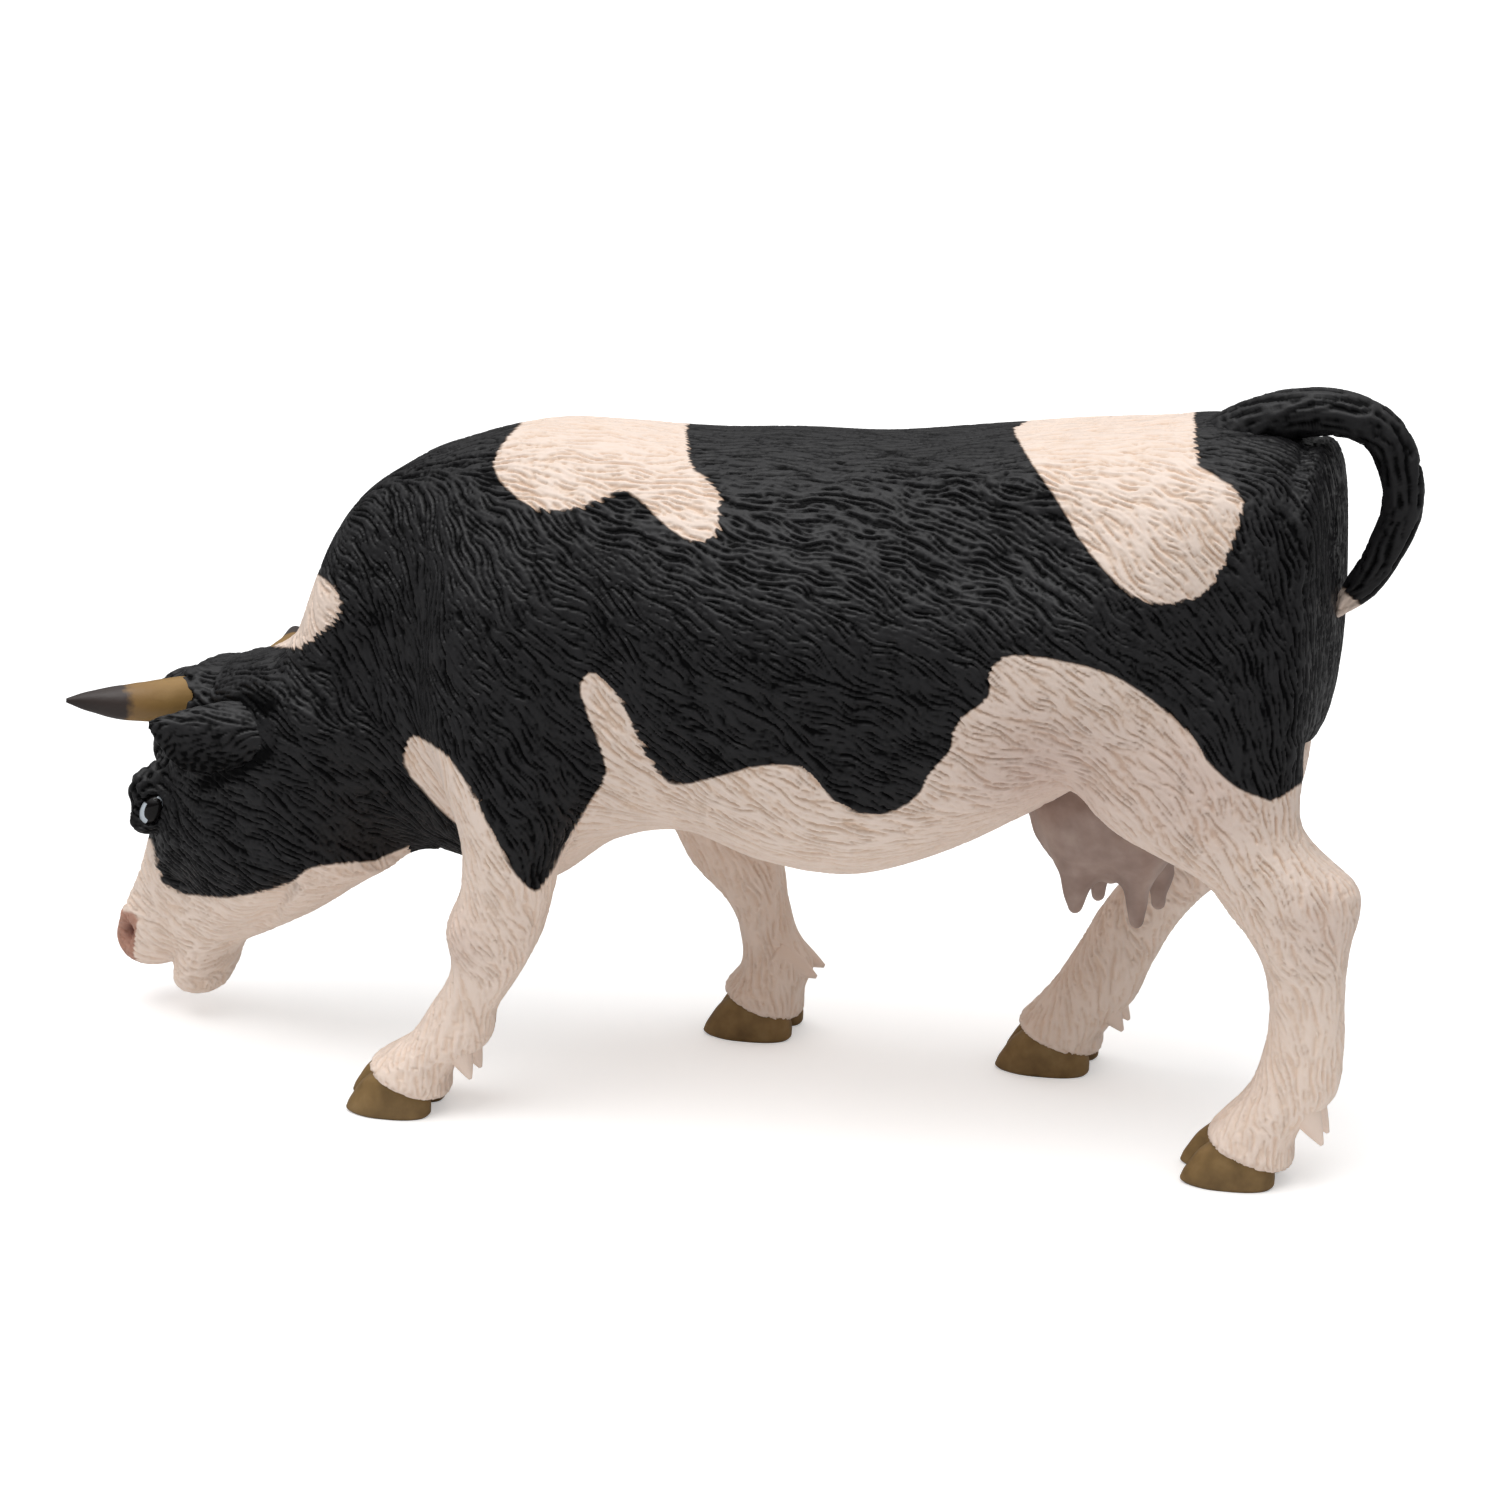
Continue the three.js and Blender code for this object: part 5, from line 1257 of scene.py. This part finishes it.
DEWCLAW_RELIEF, DEWCLAW_PINK = 0.1, 0.05     # the coat paint's attributes on them
DEWCLAWS = {    # root x, z and tip x, z
    "foreleg_left": (-27.2, 8.6, -25.4, 4.3), "foreleg_right": (-1.0, 9.2, 3.5, 7.1),
    "hindleg_left": (60.6, 9.2, 63.0, 4.9), "hindleg_right": (34.8, 8.4, 37.3, 5.0)}


def claw_grid(side_y, toe, heel, which):
    """Level rounded ovals from the sole up; the wall facing the cleft is flatter than the outer wall."""
    height = np.linspace(0, CLAW_ROWS[-1][0], CLAW_RINGS)
    toe_in, heel_in, spread = along(CLAW_ROWS, height)
    front, rear = toe + toe_in, heel - heel_in
    turn = np.linspace(0, 2 * np.pi, CLAW_SIDES, endpoint=False)
    c, s = np.cos(turn), np.sin(turn)
    x = ((front + rear) / 2)[:, None] + ((rear - front) / 2)[:, None] * np.sign(c) * np.abs(c) ** CLAW_SQUARE
    bow = np.where(s * which > 0, CLAW_OUTER, CLAW_INNER) * (1 - CLAW_PINCH * ramp(-c, *PINCH_SPAN))
    y = (spread * CLAW_HALF_WIDTH)[:, None] * np.sign(s) * np.abs(s) ** CLAW_SQUARE * bow
    y = side_y + which * (CLAW_HALF_WIDTH + CLEFT / 2) + y
    return np.stack([x, y, np.broadcast_to(height[:, None], x.shape)], axis=-1)


def dewclaw_grid(root, lean):
    """A small blunt cone: rings along its lean, each smaller than the last."""
    share = np.linspace(0, 1, DEWCLAW_RINGS)
    path = np.array(root) + share[:, None] * np.array(lean)
    taper = DEWCLAW_RADIUS * (1 - DEWCLAW_TAPER * share) ** DEWCLAW_BLUNT
    return path_rings(path, taper, DEWCLAW_SIDES, np.array([1.0, 0, 0]))[0]


for name, (side_y, toe, heel, *_) in LIMBS.items():
    for which, place in ((-1, "near"), (1, "far")):
        ahead = TOE_AHEAD if which > 0 > side_y else 0
        claw = closed_rings(claw_grid(side_y, toe - ahead, heel, which))
        add_piece(f"{name}_claw_{place}", claw, name, HOOF)
    root_x, root_z, tip_x, tip_z = DEWCLAWS[name]
    for which, place in ((-1, "near"), (1, "far")):
        spur = closed_rings(dewclaw_grid((root_x, side_y + which * DEWCLAW_APART, root_z),
                                         (tip_x - root_x, which * DEWCLAW_SPLAY, tip_z - root_z)))
        add_piece(f"{name}_dewclaw_{place}", spur, name, COAT,
                  coat_layers(len(spur[0]), ALL_CREAM, DEWCLAW_RELIEF, DEWCLAW_PINK))

# %% [markdown]
# ## The udder
#
# The bag and its four teats melt together, so they are a field again, on a small grid of their own, with a
# little wrinkling in place of hair.

# %% Udder
UDDER_AT, UDDER_RADII = (38.2, 0.0, 34.6), (8.8, 8.5, 8.2)
TEAT_TIPS = [(35.4, -4.4, 23.6), (41.8, -4.4, 22.8), (36.2, 3.6, 22.4), (42.5, 3.6, 22.2)]
TEAT_RADIUS, TEAT_WIDENS, TEAT_SPAN = 0.75, 0.11, (0.5, 8)    # at the tip, and mm for each mm above it
TEAT_TOP, TEAT_MELT = 33, 2.2
UDDER_LOW, UDDER_HIGH, UDDER_PITCH = np.array([28.0, -10.0, 21.5]), np.array([48.0, 10.0, 45.5]), 0.45
WRINKLES = [(0.4, (0.6, 0.6, 1), 2.6), (0.12, (1, 1, 0.5), 0.9)]    # depth, stretch, size


def udder_distance(x, y, z):
    """A ball for the bag, melted into four tapering teats with round ends."""
    udder = ball(x, y, z, UDDER_AT, UDDER_RADII)
    for tip_x, tip_y, tip_z in TEAT_TIPS:
        radius = TEAT_RADIUS + TEAT_WIDENS * np.clip(z - tip_z - TEAT_SPAN[0], 0, TEAT_SPAN[1])
        below = np.maximum(tip_z + TEAT_RADIUS - z, 0)
        teat = np.sqrt((x - tip_x) ** 2 + (y - tip_y) ** 2 + below ** 2) - radius
        udder = melt(udder, np.maximum(teat, z - TEAT_TOP), TEAT_MELT)
    return udder


UDDER = plain_paint("udder_paint", (0.45, 0.4), (260, 4), (0.3, 0.7), [
    (0.0, (0.27, 0.185, 0.155)), (0.5, (0.37, 0.265, 0.225)), (1.0, (0.47, 0.36, 0.31))],
    (1200, 4, 0.4, 0.00015))
udder_points, udder_quads, *_ = skinned(udder_distance, UDDER_LOW, UDDER_HIGH, UDDER_PITCH)
wrinkle = sum(depth * grain(udder_points * np.array(stretch), cell) for depth, stretch, cell in WRINKLES)
udder_points = udder_points + wrinkle[:, None] * point_normals(udder_points, udder_quads)
add_piece("udder_bag", (udder_points, udder_quads), "udder", UDDER)

# %% [markdown]
# ## Light and floor
#
# The photograph is a white product shot: a very large soft light overhead, dim walls, and a white sheet that
# keeps only soft shadows under the hooves. The sky is bright above and dark at its rim, which models the
# strokes, and a broad sun lamp lights the floor evenly. The sheet throws light up under the belly near the
# figure and less further off, and is darker in reflections, so that the black stays black. What the camera
# sees of it is lifted to white.

# %% Light and floor
SKY_TOP, SKY_RIM = 0.9, 0.06
SKY_STEPS = [(0.0, grey(SKY_RIM)), (0.3, grey(2 * SKY_RIM)), (0.62, grey(SKY_TOP)), (1.0, grey(SKY_TOP))]
SUN_STRENGTH = 1.4
SUN_SPREAD = np.radians(50.0)
SUN_LEAN = (np.radians(12.0), np.radians(-8.0), 0)
FLOOR_HALF = 2.5                      # metres
FLOOR_SEEN, FLOOR_LIFT = 0.9, 0.34    # its colour for the camera, and the light added to it there
SHEET_NEAR, SHEET_FAR, SHEET_MIRRORED = 0.97, 0.22, 0.36
SHEET_REACH = (0.09, 0.26)            # metres from the middle over which it goes from near to far

scene = bpy.context.scene
scene.view_settings.view_transform = "Standard"
sky = bpy.data.worlds.new("pale_studio")
scene.world = sky
sky.use_nodes = True
tree = sky.node_tree
toward = tree.nodes.new("ShaderNodeSeparateXYZ")
wire(tree, toward, {0: tree.nodes.new("ShaderNodeTexCoord").outputs["Generated"]})
wire(tree, tree.nodes["Background"], {
    "Strength": 1.0, "Color": colour_steps(tree, toward.outputs["Z"], 0.0, 1.0, SKY_STEPS)})
sun_data = bpy.data.lights.new("softbox", "SUN")
sun_data.energy = SUN_STRENGTH
sun_data.angle = SUN_SPREAD
sun = bpy.data.objects.new("softbox", sun_data)
sun.rotation_euler = SUN_LEAN
scene.collection.objects.link(sun)

floor_paint, tree, shader = new_paint("white_sheet", 0.9, 0.1)
ray = tree.nodes.new("ShaderNodeLightPath").outputs
distance = tree.nodes.new("ShaderNodeVectorMath")
distance.operation = "LENGTH"
wire(tree, distance, {0: tree.nodes.new("ShaderNodeTexCoord").outputs["Object"]})
sheet = colour_steps(tree, distance.outputs["Value"], *SHEET_REACH,
                     [(0.0, grey(SHEET_NEAR)), (1.0, grey(SHEET_FAR))])
sheet = mix_colours(tree, ray["Is Glossy Ray"], sheet, grey(SHEET_MIRRORED))
sheet = mix_colours(tree, ray["Is Camera Ray"], sheet, grey(FLOOR_SEEN))
lift = tree.nodes.new("ShaderNodeMath")
lift.operation = "MULTIPLY"
wire(tree, lift, {0: ray["Is Camera Ray"], 1: FLOOR_LIFT})
wire(tree, shader, {"Base Color": sheet, "Emission Color": (*grey(1), 1),
                    "Emission Strength": lift.outputs[0]})
floor_mesh = bpy.data.meshes.new("floor")
floor_mesh.from_pydata([(-FLOOR_HALF, -FLOOR_HALF, 0), (FLOOR_HALF, -FLOOR_HALF, 0),
                        (FLOOR_HALF, FLOOR_HALF, 0), (-FLOOR_HALF, FLOOR_HALF, 0)], [], [(0, 1, 2, 3)])
floor_mesh.materials.append(floor_paint)
floor = bpy.data.objects.new("floor", floor_mesh)
scene.collection.objects.link(floor)
print("sky", SKY_RIM, "to", SKY_TOP, "sun", SUN_STRENGTH)
